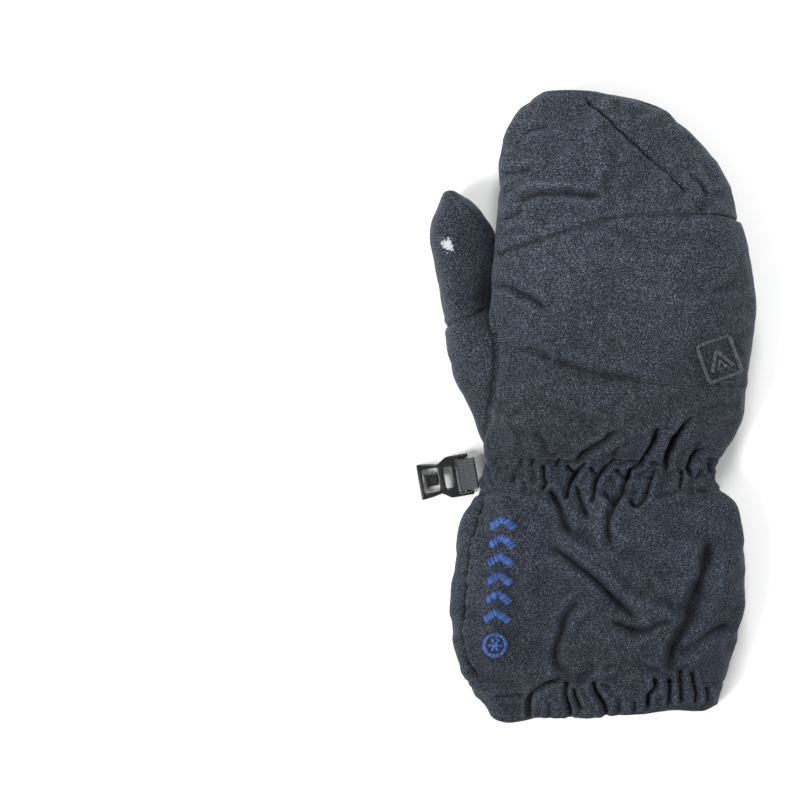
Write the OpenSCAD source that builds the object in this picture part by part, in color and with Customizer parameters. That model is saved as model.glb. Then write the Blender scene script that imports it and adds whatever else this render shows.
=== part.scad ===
// Padded ski mitten for the right hand, lying on its palm.
// +X runs from the thumb side to the little-finger side, +Y from the cuff to
// the fingertips and +Z up through the back of the hand. The origin is the
// middle of the underside. Millimetres.

/* [Fabric] */
// Thickness of the outer fabric
shell_t = 0.8; // [0.6:0.1:1.0]
// Thickness of the wadding round the hand
wad_t = 3.6; // [2.4:0.2:4.0]
// Thickness of the fleece lining
liner_t = 1.0; // [0.6:0.1:1.2]
// Free gap between two layers
ply_gap = 0.4; // [0.3:0.1:0.5]

/* [Wrist and hem] */
// Width of each elastic tape in the wrist
wrist_tape_w = 2.6; // [2:0.2:3.2]
// Distance between the elastic tapes in the wrist
wrist_tape_pitch = 5.6; // [5:0.2:6]
// Width of the flat elastic in the hem
hem_tape_w = 7; // [5:0.5:8]

/* [Clip] */
// Width of the webbing loop
webbing_w = 12; // [10:0.5:12]
// Thickness of one ply of webbing
webbing_t = 1.0; // [0.8:0.1:1.1]
// Radius of the bar that the webbing turns round
bar_r = 1.2; // [1:0.05:1.2]
// Thickness of the moulded clip frame
clip_t = 3.4; // [3:0.1:3.6]
// Turn of the clip in the plane of the table, in degrees
clip_turn = 10; // [5:1:12]

/* [Thumb] */
// Thickness of the wadding round the thumb
thumb_wad_t = 1.8; // [1.2:0.2:2.0]

/* [Hidden] */

fabric = [0.20, 0.22, 0.26];
fleece = [0.16, 0.17, 0.19];
wad = [0.86, 0.87, 0.88];

// Depths of the layers under the outer surface, round the hand
d_shell = shell_t;
d_wad0 = d_shell + ply_gap;
d_wad1 = d_wad0 + wad_t;
d_lin0 = d_wad1 + ply_gap;
d_lin1 = d_lin0 + liner_t;
// and where there is no wadding, in the wrist and cuff
d_cl0 = shell_t + ply_gap + 1.2;
d_cl1 = d_cl0 + liner_t;
// and round the thumb
d_tw0 = d_shell + 0.3;
d_tw1 = d_tw0 + thumb_wad_t;
d_tl0 = d_tw1 + 0.3;
d_tl1 = d_tl0 + 0.8;

// Lengthwise stations of the body of the mitten: y, left edge, right edge,
// underside and top.
BODY = [
    [-124, -36.0, 47.0, 0.6, 21],
    [-118, -37.0, 48.0, 0.2, 22],
    [-112, -40.5, 49.5, 0.0, 24],
    [-106, -44.0, 51.5, 0.0, 26],
    [ -95, -48.0, 55.5, 0.0, 28],
    [ -84, -50.0, 58.5, 0.0, 29],
    [ -72, -50.5, 60.0, 0.0, 29],
    [ -61, -49.5, 60.5, 0.0, 29],
    [ -49, -47.0, 59.0, 0.0, 28],
    [ -38, -44.0, 55.5, 0.0, 26],
    [ -32, -41.0, 50.5, 0.4, 23],
    [ -25, -39.0, 48.5, 0.7, 22],
    [ -19, -38.8, 52.0, 0.7, 25],
    [ -13, -39.0, 56.0, 0.7, 29],
    [  -7, -39.2, 58.5, 0.7, 33],
    [   2, -39.2, 60.2, 0.7, 36],
    [  13, -38.8, 61.6, 0.7, 37.5],
    [  25, -38.2, 62.8, 0.7, 38],
    [  37, -37.0, 63.4, 0.7, 38],
    [  48, -36.0, 63.0, 0.7, 37.5],
    [  59, -34.8, 61.2, 0.7, 36.5],
    [  70, -34.2, 57.8, 0.7, 35],
    [  82, -33.0, 54.4, 1.0, 33],
    [  93, -33.0, 48.6, 1.8, 30],
    [  99, -32.2, 44.2, 2.6, 28],
    [ 105, -30.0, 38.0, 3.8, 26],
    [ 111, -25.6, 29.6, 5.4, 23.5],
    [ 116, -20.0, 15.0, 7.6, 20.5],
    [ 118.6, -16.0,  4.0, 9.2, 18.6]
];

// The same for the thumb, which starts beside the wrist and is sewn to the
// body up to the crotch.
THUMB = [
    [-12, -41.6, -36.0,  5, 17],
    [ -4, -43.4, -34.0,  3, 21],
    [  8, -48.3, -34.0,  1.4, 24],
    [ 19, -51.3, -35.0,  0.7, 25.5],
    [ 30, -53.2, -36.5,  0.5, 26],
    [ 37, -54.8, -38.6,  0.5, 26],
    [ 48, -56.3, -37.6,  0.5, 26],
    [ 59, -58.1, -37.0,  0.7, 25.5],
    [ 66, -58.5, -37.4,  1.2, 25],
    [ 71, -58.3, -39.4,  2.2, 23.5],
    [ 76, -56.4, -43.0,  4.0, 21],
    [ 80.6, -54.2, -48.0, 7.5, 17]
];

// The root of the thumb, sewn into the body of the mitten
ROOT = [
    [-12, -40.2, -12, 4.0, 18],
    [ -4, -43.4, -10, 2.2, 23],
    [  8, -48.3, -10, 1.0, 26],
    [ 19, -51.3, -10, 0.7, 27],
    [ 30, -53.2, -12, 0.7, 27],
    [ 36, -54.6, -14, 0.7, 27]
];

crotch_y = 35;      // where the thumb leaves the hand
finger_y = 62;      // line of the knuckle fold
wrist_top = -14;    // the gathered wrist runs from here
wrist_low = -33;    // to here
hem_top = -104;

// ---------- smooth interpolation along a station table ----------
function seat(T, y, i = 0) = (i >= len(T) - 2 || y < T[i + 1][0]) ? i : seat(T, y, i + 1);
function slope(T, i, k) =
    i == 0 ? (T[1][k] - T[0][k]) / (T[1][0] - T[0][0]) :
    i == len(T) - 1 ? (T[i][k] - T[i - 1][k]) / (T[i][0] - T[i - 1][0]) :
    (T[i + 1][k] - T[i - 1][k]) / (T[i + 1][0] - T[i - 1][0]);
function at(T, y, k) =
    let (i = seat(T, y), s = T[i + 1][0] - T[i][0], u = (y - T[i][0]) / s,
         a = slope(T, i, k) * s, b = slope(T, i + 1, k) * s)
    (2 * u * u * u - 3 * u * u + 1) * T[i][k] + (u * u * u - 2 * u * u + u) * a
    + (3 * u * u - 2 * u * u * u) * T[i + 1][k] + (u * u * u - u * u) * b;

// One closed outline across the mitten at y, d deep under the outer surface.
// The underside is squarer than the back and is cut flat where it rests.
function ring(T, y, d, n, yy) =
    let (xl = at(T, y, 1) + d, xr = at(T, y, 2) - d,
         zl = at(T, y, 3) + d, zh = at(T, y, 4) - d,
         xc = (xl + xr) / 2, w = (xr - xl) / 2,
         zm = zl + 0.42 * (zh - zl), up = zh - zm, dn = zm - zl)
    [for (i = [0 : n - 1])
        let (t = 360 * i / n, c = cos(t), s = sin(t))
        [xc + w * sign(c) * pow(abs(c), 0.84), yy,
         s >= 0 ? zm + up * pow(s, 0.86)
                : max(zl, zm - 1.06 * dn * pow(-s, 0.66))]];

// A closed solid from yb to ye, d deep. Towards a rounded end at tip it
// draws back by d as well.
module tube(T, yb, ye, d, n, step, tip = 0) {
    inside_y = [for (y = [ceil((yb + 0.5) / step) * step : step : ye - 0.5]) y];
    extra = tip > 0 ? [for (y = [tip - 9.5, tip - 5, tip - 2.2]) if (y > yb + 1 && y < ye - 0.4) y] : [];
    keep = tip > 0 ? [for (y = inside_y) if (y < tip - 11) y] : inside_y;
    Y = concat([yb], keep, extra, [ye]);
    rings = [for (y = Y)
        let (v = tip > 0 ? max(0, min(1, (y - (tip - 30)) / 30)) : 0,
             yy = y - d * v * v)
        each ring(T, yy, d, n, yy)];
    m = len(Y);
    polyhedron(
        points = rings,
        faces = concat(
            [[for (i = [n - 1 : -1 : 0]) i]],
            [[for (i = [0 : n - 1]) (m - 1) * n + i]],
            [for (j = [0 : m - 2]) for (i = [0 : n - 1])
                let (a = j * n + i, b = j * n + (i + 1) % n, e = a + n, f = b + n)
                each [[a, f, e], [a, b, f]]]));
}

module body_solid(d, yb, ye = 118.6) {
    tube(BODY, yb, ye, d, 32, 12, ye > 110 ? 118.6 : 0);
}
module thumb_solid(d, yb, ye = 80.6) {
    tube(THUMB, yb, ye, d, 20, 12, 80.6);
}
// Body and thumb root as one, under the crotch; body alone above it
module hand_solid(d, dt, yb, ye) {
    body_solid(d, yb, ye);
    tube(ROOT, -12 + dt, crotch_y, dt, 32, 12);
}

// The layer between two depths of the hand, from the wrist to the tip
module hand_layer(d0, d1, t0, t1) {
    difference() {
        hand_solid(d0, t0, wrist_top + 0.2, 118.6);
        hand_solid(d1, t1, wrist_top - 2, 118.6);
    }
}

// A layer of the cuff or wrist between two depths and two stations
module sleeve(d0, d1, ya, yb) {
    difference() {
        body_solid(d0, ya, yb);
        body_solid(d1, ya - 2, yb + 2);
    }
}

// ---------- seam lines in plan ----------
// The seam over the knuckles, from the thumb side to the outer side
KNUCKLE = [[-60, 55], [-36, 56.5], [-24, 60.5], [-8, 66], [13, 71],
           [30, 72], [45, 71.6], [57, 69.5], [80, 66]];
// The seam over the heel of the hand
HEEL = [[-80, 26], [-38, 24], [-28, 22], [-18, 19], [-4, 13.5], [10, 10.5],
        [25, 8.6], [43, 7.5], [61, 7.2], [80, 7.2]];
// The slanting seam over the fingertips
SLANT = [[-8, 125], [-4.5, 118], [6, 108], [18, 96], [30, 85.5], [38, 78.5],
         [43, 73], [46, 66], [49, 60]];
// The seam between the thumb and the hand
THUMB_SEAM = [[-41.5, -30], [-41.5, -8], [-40, 2], [-38.6, 13], [-37.8, 26],
              [-37.4, crotch_y + 1]];
// The mouth of the cuff
MOUTH = [[-80, -119], [-45, -117.6], [-32, -118.6], [-20, -118.2],
         [0, -116.4], [25, -114.8], [45, -113.6], [80, -112]];
// The seam down the thumb side of the cuff
STRIP = [[-38.5, -20], [-40.2, -37], [-43.4, -50], [-45.6, -64],
         [-46, -80], [-44.2, -95], [-40, -104], [-34, -130]];

function over(L, g) = [for (p = L) [p[0], p[1] + g]];
function right_of(L, g) = [for (p = L) [p[0] + g, p[1]]];
function back(L) = [for (i = [len(L) - 1 : -1 : 0]) L[i]];
// Everything above, or below, a line that runs across
module above(L, g = 0) {
    polygon(concat(over(L, g), [[130, 140], [-130, 140]]));
}
module below(L, g = 0) {
    polygon(concat(over(L, -g), [[130, -140], [-130, -140]]));
}
// Everything to one side of a line that runs lengthwise, drawn downwards
module outer_side(L, g = 0) { polygon(concat(right_of(L, g), [[130, L[len(L) - 1][1]], [130, L[0][1]]])); }
module thumb_side(L, g = 0) { polygon(concat(right_of(L, -g), [[-130, L[len(L) - 1][1]], [-130, L[0][1]]])); }

// Straight up and down through a plan, between two heights
module slab(z0 = -5, z1 = 60) { translate([0, 0, z0]) linear_extrude(z1 - z0) children(); }
module strip_of(ya, yb) { translate([-130, ya]) square([260, yb - ya]); }

// Height of the side seams between back and palm
side_z = 15.5;
cuff_side_z = 11.5;
seam_g = 0.12;

// A soft layer is computed as one mesh
module soft() { resize([0, 0, 0]) children(); }

// ---------- finger pocket ----------
module back_tip_panel() color(fabric) soft() intersection() {
    hand_layer(0, d_shell, 0, d_shell);
    slab(side_z + seam_g) intersection() { above(KNUCKLE, 0.2); thumb_side(SLANT, seam_g); }
}
module back_outer_tip_panel() color(fabric) soft() intersection() {
    hand_layer(0, d_shell, 0, d_shell);
    slab(side_z + seam_g) intersection() { above(KNUCKLE, 0.2); outer_side(SLANT, seam_g); }
}
module palm_finger_panel() color(fabric) soft() intersection() {
    hand_layer(0, d_shell, 0, d_shell);
    slab(-5, side_z - seam_g) strip_of(finger_y + 0.2, 140);
}
module finger_back_wadding() color(wad) soft() intersection() {
    hand_layer(d_wad0, d_wad1, 0, 1);
    slab(side_z + 0.2) above(KNUCKLE, 0.6);
}
module finger_palm_wadding() color(wad) soft() intersection() {
    hand_layer(d_wad0, d_wad1, 0, 1);
    slab(-5, side_z - 0.2) strip_of(finger_y + 0.4, 140);
}
module finger_liner() color(fleece) soft() difference() {
    hand_layer(d_lin0, d_lin1, 0, 1);
    slab(side_z - 0.2) below(KNUCKLE, -0.8);
    slab(-5, side_z + 0.2) strip_of(-140, finger_y + 0.4);
}

// ---------- hand ----------
module back_knuckle_panel() color(fabric) soft() intersection() {
    hand_layer(0, d_shell, 0, d_shell);
    slab(side_z + seam_g) difference() {
        intersection() { below(KNUCKLE, 0.2); above(HEEL, seam_g); }
        intersection() { thumb_side(THUMB_SEAM, -seam_g); strip_of(-60, crotch_y + 0.3); }
    }
}
module back_lower_panel() color(fabric) soft() intersection() {
    hand_layer(0, d_shell, 0, d_shell);
    slab(side_z + seam_g) difference() {
        below(HEEL, seam_g);
        thumb_side(THUMB_SEAM, -seam_g);
    }
}
module palm_panel() color(fabric) soft() intersection() {
    hand_layer(0, d_shell, 0, d_shell);
    slab(-5, side_z - seam_g) difference() {
        strip_of(-60, finger_y - 0.2);
        intersection() { thumb_side(THUMB_SEAM, -seam_g); strip_of(-60, crotch_y + 0.3); }
    }
}
module thumb_gusset() color(fabric) soft() intersection() {
    hand_layer(0, d_shell, 0, d_shell);
    slab() intersection() { thumb_side(THUMB_SEAM, seam_g); strip_of(-60, crotch_y - 0.2); }
}
// Coated patch that lies on the palm
module palm_grip_patch() color([0.10, 0.10, 0.11]) soft() intersection() {
    hand_layer(-0.7, -0.1, -0.7, -0.1);
    slab(-5, 12) offset(r = 8, $fn = 32) offset(delta = -8)
        polygon([[-30, -4], [52, -4], [56, 20], [54, 46], [-28, 46]]);
}
module back_wadding() color(wad) soft() intersection() {
    hand_layer(d_wad0, d_wad1, d_wad0, 5);
    slab(side_z + 0.2) below(KNUCKLE, 0.6);
}
module palm_wadding() color(wad) soft() intersection() {
    hand_layer(d_wad0, d_wad1, d_wad0, 5);
    slab(-5, side_z - 0.2) strip_of(-60, finger_y - 0.4);
}
module hand_liner() color(fleece) soft() difference() {
    hand_layer(d_lin0, d_lin1, 5.3, 6.2);
    slab(side_z - 0.4) above(KNUCKLE, -0.8);
    slab(-5, side_z) strip_of(finger_y - 0.4, 140);
}
// Raised plain badge beside the outer seam
module badge_plan() {
    translate([48.5, 17]) rotate(22) difference() {
        offset(r = 2, $fn = 24) square([9.5, 11.5], center = true);
        offset(r = 1, $fn = 24) square([8.7, 10.7], center = true);
    }
    translate([48.5, 17]) rotate(22) {
        polygon([[-4.4, -3.6], [-3, -3.6], [0, 1.6], [3, -3.6], [4.4, -3.6], [0, 4]]);
        polygon([[-1.6, -3.6], [1.6, -3.6], [0, -0.8]]);
    }
}
module side_badge() color([0.22, 0.24, 0.28]) soft() intersection() {
    hand_layer(-0.7, -0.1, -0.7, -0.1);
    slab(side_z) badge_plan();
}

// ---------- thumb ----------
module thumb_layer(d0, d1) {
    difference() {
        intersection() {
            thumb_solid(d0, -12 + d0);
            translate([-100, crotch_y + 0.25, -10]) cube([200, 100, 80]);
        }
        thumb_solid(d1, -12 + d1);
    }
}
thumb_side_z = 11;
module thumb_back_panel() color(fabric) soft() intersection() {
    thumb_layer(0, d_shell);
    slab(thumb_side_z + seam_g) strip_of(0, 140);
}
module thumb_palm_panel() color([0.10, 0.10, 0.11]) soft() intersection() {
    thumb_layer(0, d_shell);
    slab(-5, thumb_side_z - seam_g) strip_of(0, 140);
}
module thumb_wadding() color(wad) soft() thumb_layer(d_tw0, d_tw1);
module thumb_liner() color(fleece) soft() thumb_layer(d_tl0, d_tl1);

// ---------- gathered wrist ----------
module wrist_shirring() color(fabric) soft()
    sleeve(0, d_shell, wrist_low + 0.2, wrist_top - 0.2);
module wrist_elastic_tapes() color([0.9, 0.9, 0.9]) soft()
    for (k = [-1, 0, 1])
        sleeve(d_shell + 0.15, d_shell + 0.85,
               -23.5 + k * wrist_tape_pitch - wrist_tape_w / 2,
               -23.5 + k * wrist_tape_pitch + wrist_tape_w / 2);
module wrist_liner() color(fleece) soft()
    sleeve(d_cl0, d_cl1, wrist_low + 0.2, wrist_top - 0.2);

// ---------- cuff ----------
module cuff_back_panel() color(fabric) soft() intersection() {
    sleeve(0, d_shell, hem_top + 0.2, wrist_low - 0.2);
    slab(cuff_side_z + seam_g) outer_side(STRIP, seam_g);
}
module cuff_side_strip() color(fabric) soft() intersection() {
    sleeve(0, d_shell, hem_top + 0.2, wrist_low - 0.2);
    slab(5 + seam_g) thumb_side(STRIP, seam_g);
}
module cuff_palm_panel() color(fabric) soft() intersection() {
    sleeve(0, d_shell, hem_top + 0.2, wrist_low - 0.2);
    difference() {
        slab(-5, cuff_side_z - seam_g) strip_of(-140, 0);
        slab(5 - seam_g, 60) thumb_side(STRIP, -seam_g);
    }
}
module cuff_liner() color(fleece) soft()
    sleeve(d_cl0, d_cl1, hem_top + 0.2, wrist_low - 0.2);
// Folded hem: two plies joined along the mouth, open upwards
module hem_casing() color(fabric) soft() difference() {
    intersection() {
        sleeve(0, 3.4, -124, hem_top - 0.2);
        slab() above(MOUTH);
    }
    intersection() {
        sleeve(d_shell, 3.4 - shell_t, -124, hem_top + 1);
        slab() above(MOUTH, 1.4);
    }
}
module hem_elastic() color([0.88, 0.88, 0.88]) soft()
    sleeve(d_shell + 0.35, 3.4 - shell_t - 0.35, hem_top - 0.8 - hem_tape_w, hem_top - 0.8);
// Raised stitched motif of plain chevrons and a ring
module motif_plan() {
    rotate(-4) {
        for (k = [0 : 5]) translate([0, 0.6 + 7 * k])
            polygon([[-4, 0], [0, 3.0], [4, 0], [4, 3.0], [0, 6.0], [-4, 3.0]]);
        translate([0, -7.4]) difference() { circle(r = 4.6, $fn = 36); circle(r = 3.2, $fn = 36); }
        translate([0, -7.4]) for (a = [0, 60, 120]) rotate(a) square([4.8, 0.8], center = true);
    }
}
module cuff_embroidery() color([0.10, 0.25, 0.72]) soft() intersection() {
    difference() {
        body_solid(-0.6, -103, -35);
        body_solid(-0.1, -104, -34);
    }
    slab(cuff_side_z) translate([-34.2, -83]) motif_plan();
}

// ---------- webbing and clip ----------
// Everything of the clip is drawn from the middle of its bar, with -X away
// from the mitten.
clip_at = [-46.0, -26.4, 2.3];
clip_dip = 1.8;     // the clip's head lies on the table
rail_y = webbing_w / 2 + 0.5;
loop_r = bar_r + 0.06;
module at_clip(dip = 0) { translate(clip_at) rotate([0, 0, clip_turn]) rotate([0, -dip, 0]) children(); }

module webbing_loop() color([0.09, 0.09, 0.10]) at_clip() difference() {
    union() {
        rotate([90, 0, 0]) cylinder(r = loop_r + webbing_t, h = webbing_w, center = true, $fn = 40);
        rotate([90, 0, 0]) linear_extrude(webbing_w, center = true)
            polygon([[0, -loop_r - webbing_t], [1.4, -loop_r - webbing_t + 0.1], [2.6, -1.2], [3.6, 0.9],
                     [4.1, 2.6], [4.5, 4.4], [4.5, 6.4],
                     [3.8, 6.2], [3.1, 4.9], [2.2, 3.4], [1.2, 2.5], [0, loop_r + webbing_t]]);
    }
    rotate([90, 0, 0]) cylinder(r = loop_r, h = webbing_w + 2, center = true, $fn = 40);
}

module frame_outline() {
    offset(r = 1.2, $fn = 24) offset(delta = -1.2) polygon([
        [2.7, -7.9], [2.7, 7.9], [-6.0, 7.9], [-8.4, 6.2], [-9.4, 5.6],
        [-12.4, 6.3], [-17.4, 6.9], [-17.4, -6.9], [-12.4, -6.3], [-9.4, -5.6],
        [-8.4, -6.2], [-6.0, -7.9]]);
}
module clip_frame() color([0.05, 0.05, 0.055]) at_clip(clip_dip) union() {
    translate([0, 0, -clip_t / 2]) linear_extrude(clip_t) difference() {
        frame_outline();
        // slot for the webbing, window for the mating hook, and tongue window
        translate([-2.9, -rail_y]) square([8, 2 * rail_y]);
        translate([-7.6, -4.2]) square([3.0, 8.4]);
        translate([-15.9, -4.6]) square([6.2, 9.2]);
    }
    rotate([90, 0, 0]) cylinder(r = bar_r, h = 2 * rail_y + 1.2, center = true, $fn = 40);
}
// Spring tongue in the hook's window, with a raised nose at its free end
module clip_tongue() color([0.05, 0.05, 0.055]) at_clip(clip_dip) {
    translate([-15.2, -2.3, -0.7]) cube([5.2, 4.6, 1.4]);
    translate([-15.2, -2.9, 0.6]) cube([1.4, 5.8, 1.5]);
}

back_tip_panel();
back_outer_tip_panel();
palm_finger_panel();
finger_back_wadding();
finger_palm_wadding();
finger_liner();
back_knuckle_panel();
back_lower_panel();
palm_panel();
thumb_gusset();
palm_grip_patch();
back_wadding();
palm_wadding();
hand_liner();
side_badge();
thumb_back_panel();
thumb_palm_panel();
thumb_wadding();
thumb_liner();
wrist_shirring();
wrist_elastic_tapes();
wrist_liner();
cuff_back_panel();
cuff_side_strip();
cuff_palm_panel();
cuff_liner();
hem_casing();
hem_elastic();
cuff_embroidery();
webbing_loop();
clip_frame();
clip_tongue();
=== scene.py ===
"""Looks of a padded child's ski mitten, lying palm down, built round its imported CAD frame."""
import math

import bmesh
import bpy
import numpy as np
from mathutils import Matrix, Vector
from mathutils.bvhtree import BVHTree


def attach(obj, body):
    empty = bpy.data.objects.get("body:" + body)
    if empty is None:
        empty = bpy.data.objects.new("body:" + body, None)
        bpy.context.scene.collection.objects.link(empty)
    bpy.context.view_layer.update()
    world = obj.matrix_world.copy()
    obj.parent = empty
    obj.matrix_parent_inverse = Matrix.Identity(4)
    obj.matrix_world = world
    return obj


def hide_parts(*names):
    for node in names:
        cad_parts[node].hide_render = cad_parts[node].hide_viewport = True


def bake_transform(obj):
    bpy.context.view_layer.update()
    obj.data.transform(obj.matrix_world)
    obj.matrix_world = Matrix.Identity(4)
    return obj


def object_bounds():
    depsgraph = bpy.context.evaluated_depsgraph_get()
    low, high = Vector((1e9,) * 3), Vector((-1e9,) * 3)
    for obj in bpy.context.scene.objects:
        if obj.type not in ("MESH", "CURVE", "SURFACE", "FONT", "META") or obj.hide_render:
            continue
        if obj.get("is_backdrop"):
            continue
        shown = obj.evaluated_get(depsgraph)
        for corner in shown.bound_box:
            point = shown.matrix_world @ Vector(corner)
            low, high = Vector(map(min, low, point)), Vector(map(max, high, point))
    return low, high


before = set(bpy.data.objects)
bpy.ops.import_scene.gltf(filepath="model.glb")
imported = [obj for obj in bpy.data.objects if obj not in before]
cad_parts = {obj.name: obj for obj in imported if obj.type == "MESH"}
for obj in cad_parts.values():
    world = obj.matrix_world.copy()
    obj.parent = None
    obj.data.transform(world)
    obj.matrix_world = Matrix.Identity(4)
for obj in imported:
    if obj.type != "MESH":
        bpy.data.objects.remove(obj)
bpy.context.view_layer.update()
MM = 0.001

# ---------------------------------------------------------------- camera
cam_data = bpy.data.cameras.new("camera")
cam = bpy.data.objects.new("camera", cam_data)
bpy.context.scene.collection.objects.link(cam)
cam_data.sensor_width = 36.0
DIST = 3.0
VIEW_W = 787 * 0.38 * MM
cam_data.lens = 36.0 * DIST / VIEW_W
cam.location = (-0.0728, 0.0044, DIST)
cam.rotation_euler = (0, 0, 0)
cam_data.clip_start, cam_data.clip_end = 0.05, 20
bpy.context.scene.camera = cam

# ---------------------------------------------------------------- tables
# y, left edge, right edge, underside, top: the same stations as the CAD body
BODY = np.array([
    [-124, -36.0, 47.0, 0.6, 21], [-118, -37.0, 48.0, 0.2, 22],
    [-112, -40.5, 49.5, 0.0, 24], [-106, -44.0, 51.5, 0.0, 26],
    [-95, -48.0, 55.5, 0.0, 28], [-84, -50.0, 58.5, 0.0, 29],
    [-72, -50.5, 60.0, 0.0, 29], [-61, -49.5, 60.5, 0.0, 29],
    [-49, -47.0, 59.0, 0.0, 28], [-38, -44.0, 55.5, 0.0, 26],
    [-32, -41.0, 50.5, 0.4, 23], [-25, -39.0, 48.5, 0.7, 22],
    [-19, -38.8, 52.0, 0.7, 25], [-13, -39.0, 56.0, 0.7, 29],
    [-7, -39.2, 58.5, 0.7, 33], [2, -39.2, 60.2, 0.7, 36],
    [13, -38.8, 61.6, 0.7, 37.5], [25, -38.2, 62.8, 0.7, 38],
    [37, -37.0, 63.4, 0.7, 38], [48, -36.0, 63.0, 0.7, 37.5],
    [59, -34.8, 61.2, 0.7, 36.5], [70, -34.2, 57.8, 0.7, 35],
    [82, -33.0, 54.4, 1.0, 33], [93, -33.0, 48.6, 1.8, 30],
    [99, -32.2, 44.2, 2.6, 28], [105, -30.0, 38.0, 3.8, 26],
    [111, -25.6, 29.6, 5.4, 23.5], [116, -20.0, 15.0, 7.6, 20.5],
    [118.6, -16.0, 4.0, 9.2, 18.6]])
THUMB = np.array([
    [-22, -33.0, -24, 9, 13], [-17, -36.6, -23, 7, 16], [-12, -39.7, -22, 4.8, 19.5],
    [-4, -43.3, -21, 2.4, 23], [8, -48.3, -21, 1.2, 26],
    [19, -51.3, -24, 0.8, 27], [26, -52.6, -28, 0.7, 27],
    [31, -53.1, -31.5, 0.6, 26.8], [37, -54.6, -33.6, 0.6, 26.5],
    [48, -56.3, -33.2, 0.6, 26], [59, -58.1, -32.8, 0.7, 25.5],
    [66, -58.5, -35.4, 1.2, 24.5], [71, -58.1, -39.0, 2.4, 23],
    [76, -56.2, -43.2, 4.2, 20.5], [80.4, -53.6, -49.0, 7.8, 16.5]])
KNUCKLE = np.array([[-60, 53.5], [-36, 56.5], [-25, 60], [-16, 63], [-5, 66.5], [3, 69],
                    [9, 70.3], [25, 71.6], [40, 71.8], [52, 71], [60, 69.5], [80, 66]])
HEEL = np.array([[-80, 26], [-38, 24], [-28, 22], [-18, 19], [-4, 13.5], [10, 10.5],
                 [25, 8.6], [43, 7.5], [61, 7.2], [80, 7.2]])
MOUTH = np.array([[-80, -116], [-46, -112], [-38, -117], [-31, -119.4], [-24, -118.8],
                  [-17, -117.2], [-6, -117.2], [6, -116.4], [22, -116], [34, -114.6],
                  [44, -114.8], [50, -112.2], [80, -108]])
SLANT = np.array([[60, 49], [66, 46.5], [70, 44.5], [76, 40.5], [86, 31.5], [96, 20.5],
                  [105, 10], [112, 3], [118.6, -3.5], [125, -6]])
STRIP = np.array([[-110, -39.5], [-104, -41.5], [-95, -44.6], [-80, -46.2], [-64, -45.4],
                  [-50, -43], [-40, -40.6], [-33, -39.2], [-20, -38]])


def tab(T, y, k=1):
    """Smooth interpolation along a table, as the CAD does it."""
    y = np.asarray(y, float)
    t = T[:, 0]
    m = np.empty(len(t))
    m[1:-1] = (T[2:, k] - T[:-2, k]) / (t[2:] - t[:-2])
    m[0] = (T[1, k] - T[0, k]) / (t[1] - t[0])
    m[-1] = (T[-1, k] - T[-2, k]) / (t[-1] - t[-2])
    i = np.clip(np.searchsorted(t, y, side="right") - 1, 0, len(t) - 2)
    h = t[i + 1] - t[i]
    u = np.clip((y - t[i]) / h, -0.5, 1.5)
    return ((2 * u**3 - 3 * u**2 + 1) * T[i, k] + (u**3 - 2 * u**2 + u) * m[i] * h
            + (3 * u**2 - 2 * u**3) * T[i + 1, k] + (u**3 - u**2) * m[i + 1] * h)


def ring(T, y, a):
    """The outline at y and angle a (radians): 0 at the right edge, pi at the left, over the back."""
    xl, xr, z0, z1 = (tab(T, y, k) for k in (1, 2, 3, 4))
    xc, w = (xl + xr) / 2, (xr - xl) / 2
    zm = z0 + 0.42 * (z1 - z0)
    up, dn = z1 - zm, zm - z0
    c, s = np.cos(a), np.sin(a)
    x = xc + w * np.sign(c) * np.abs(c) ** 0.84
    hi = zm + up * np.abs(s) ** 0.86
    lo = zm - 1.06 * dn * np.abs(s) ** 0.72
    soft = 0.5 * (lo + z0 + np.sqrt((lo - z0) ** 2 + 0.5))   # rests flat, with a soft edge
    return x, np.where(s >= 0, hi, np.minimum(soft, zm))


def even_angles(n, half):
    """Angles over one half of the outline, spaced evenly along a typical one."""
    a = np.linspace(0, math.pi, 400)
    x = 48 * np.sign(np.cos(a)) * np.abs(np.cos(a)) ** 0.84
    z = (21 * np.sin(a) ** 0.86) if half == 0 else (15 * np.minimum(1, 1.06 * np.sin(a) ** 0.72))
    d = np.concatenate([[0], np.cumsum(np.hypot(np.diff(x), np.diff(z)))])
    return np.interp(np.linspace(0, d[-1], n + 1), d, a)


# ---------------------------------------------------------------- body grid
NB, NP = 200, 152            # columns over the back and under the palm
NC = NB + NP
ang0 = np.concatenate([even_angles(NB, 0)[:-1], math.pi + even_angles(NP, 1)[:-1]])
C_SLANT, C_STRIP = 45, NB - 12

SEG = [("hem", lambda x: tab(MOUTH, x), lambda x: -104.5 + 0 * x, 22),
       ("cuff", lambda x: -104.5 + 0 * x, lambda x: -32.6 + 0 * x, 104),
       ("wrist", lambda x: -32.6 + 0 * x, lambda x: -20.2 + 0 * x, 28),
       ("heel", lambda x: -20.2 + 0 * x, lambda x: tab(HEEL, x), 50),
       ("hand", lambda x: tab(HEEL, x), lambda x: tab(KNUCKLE, x), 80),
       ("tip", lambda x: tab(KNUCKLE, x), lambda x: 118.6 + 0 * x, 74)]
ROW = {}
rows = []
for name, lo, hi, n in SEG:
    ROW[name] = len(rows)
    for i in range(n):
        t = i / n
        if name == "tip":
            t = 1 - (1 - t) ** 1.35
        rows.append((lo, hi, t))
rows.append((SEG[-1][1], SEG[-1][2], 1.0))
ROW["end"] = len(rows) - 1
NR = len(rows)


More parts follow.
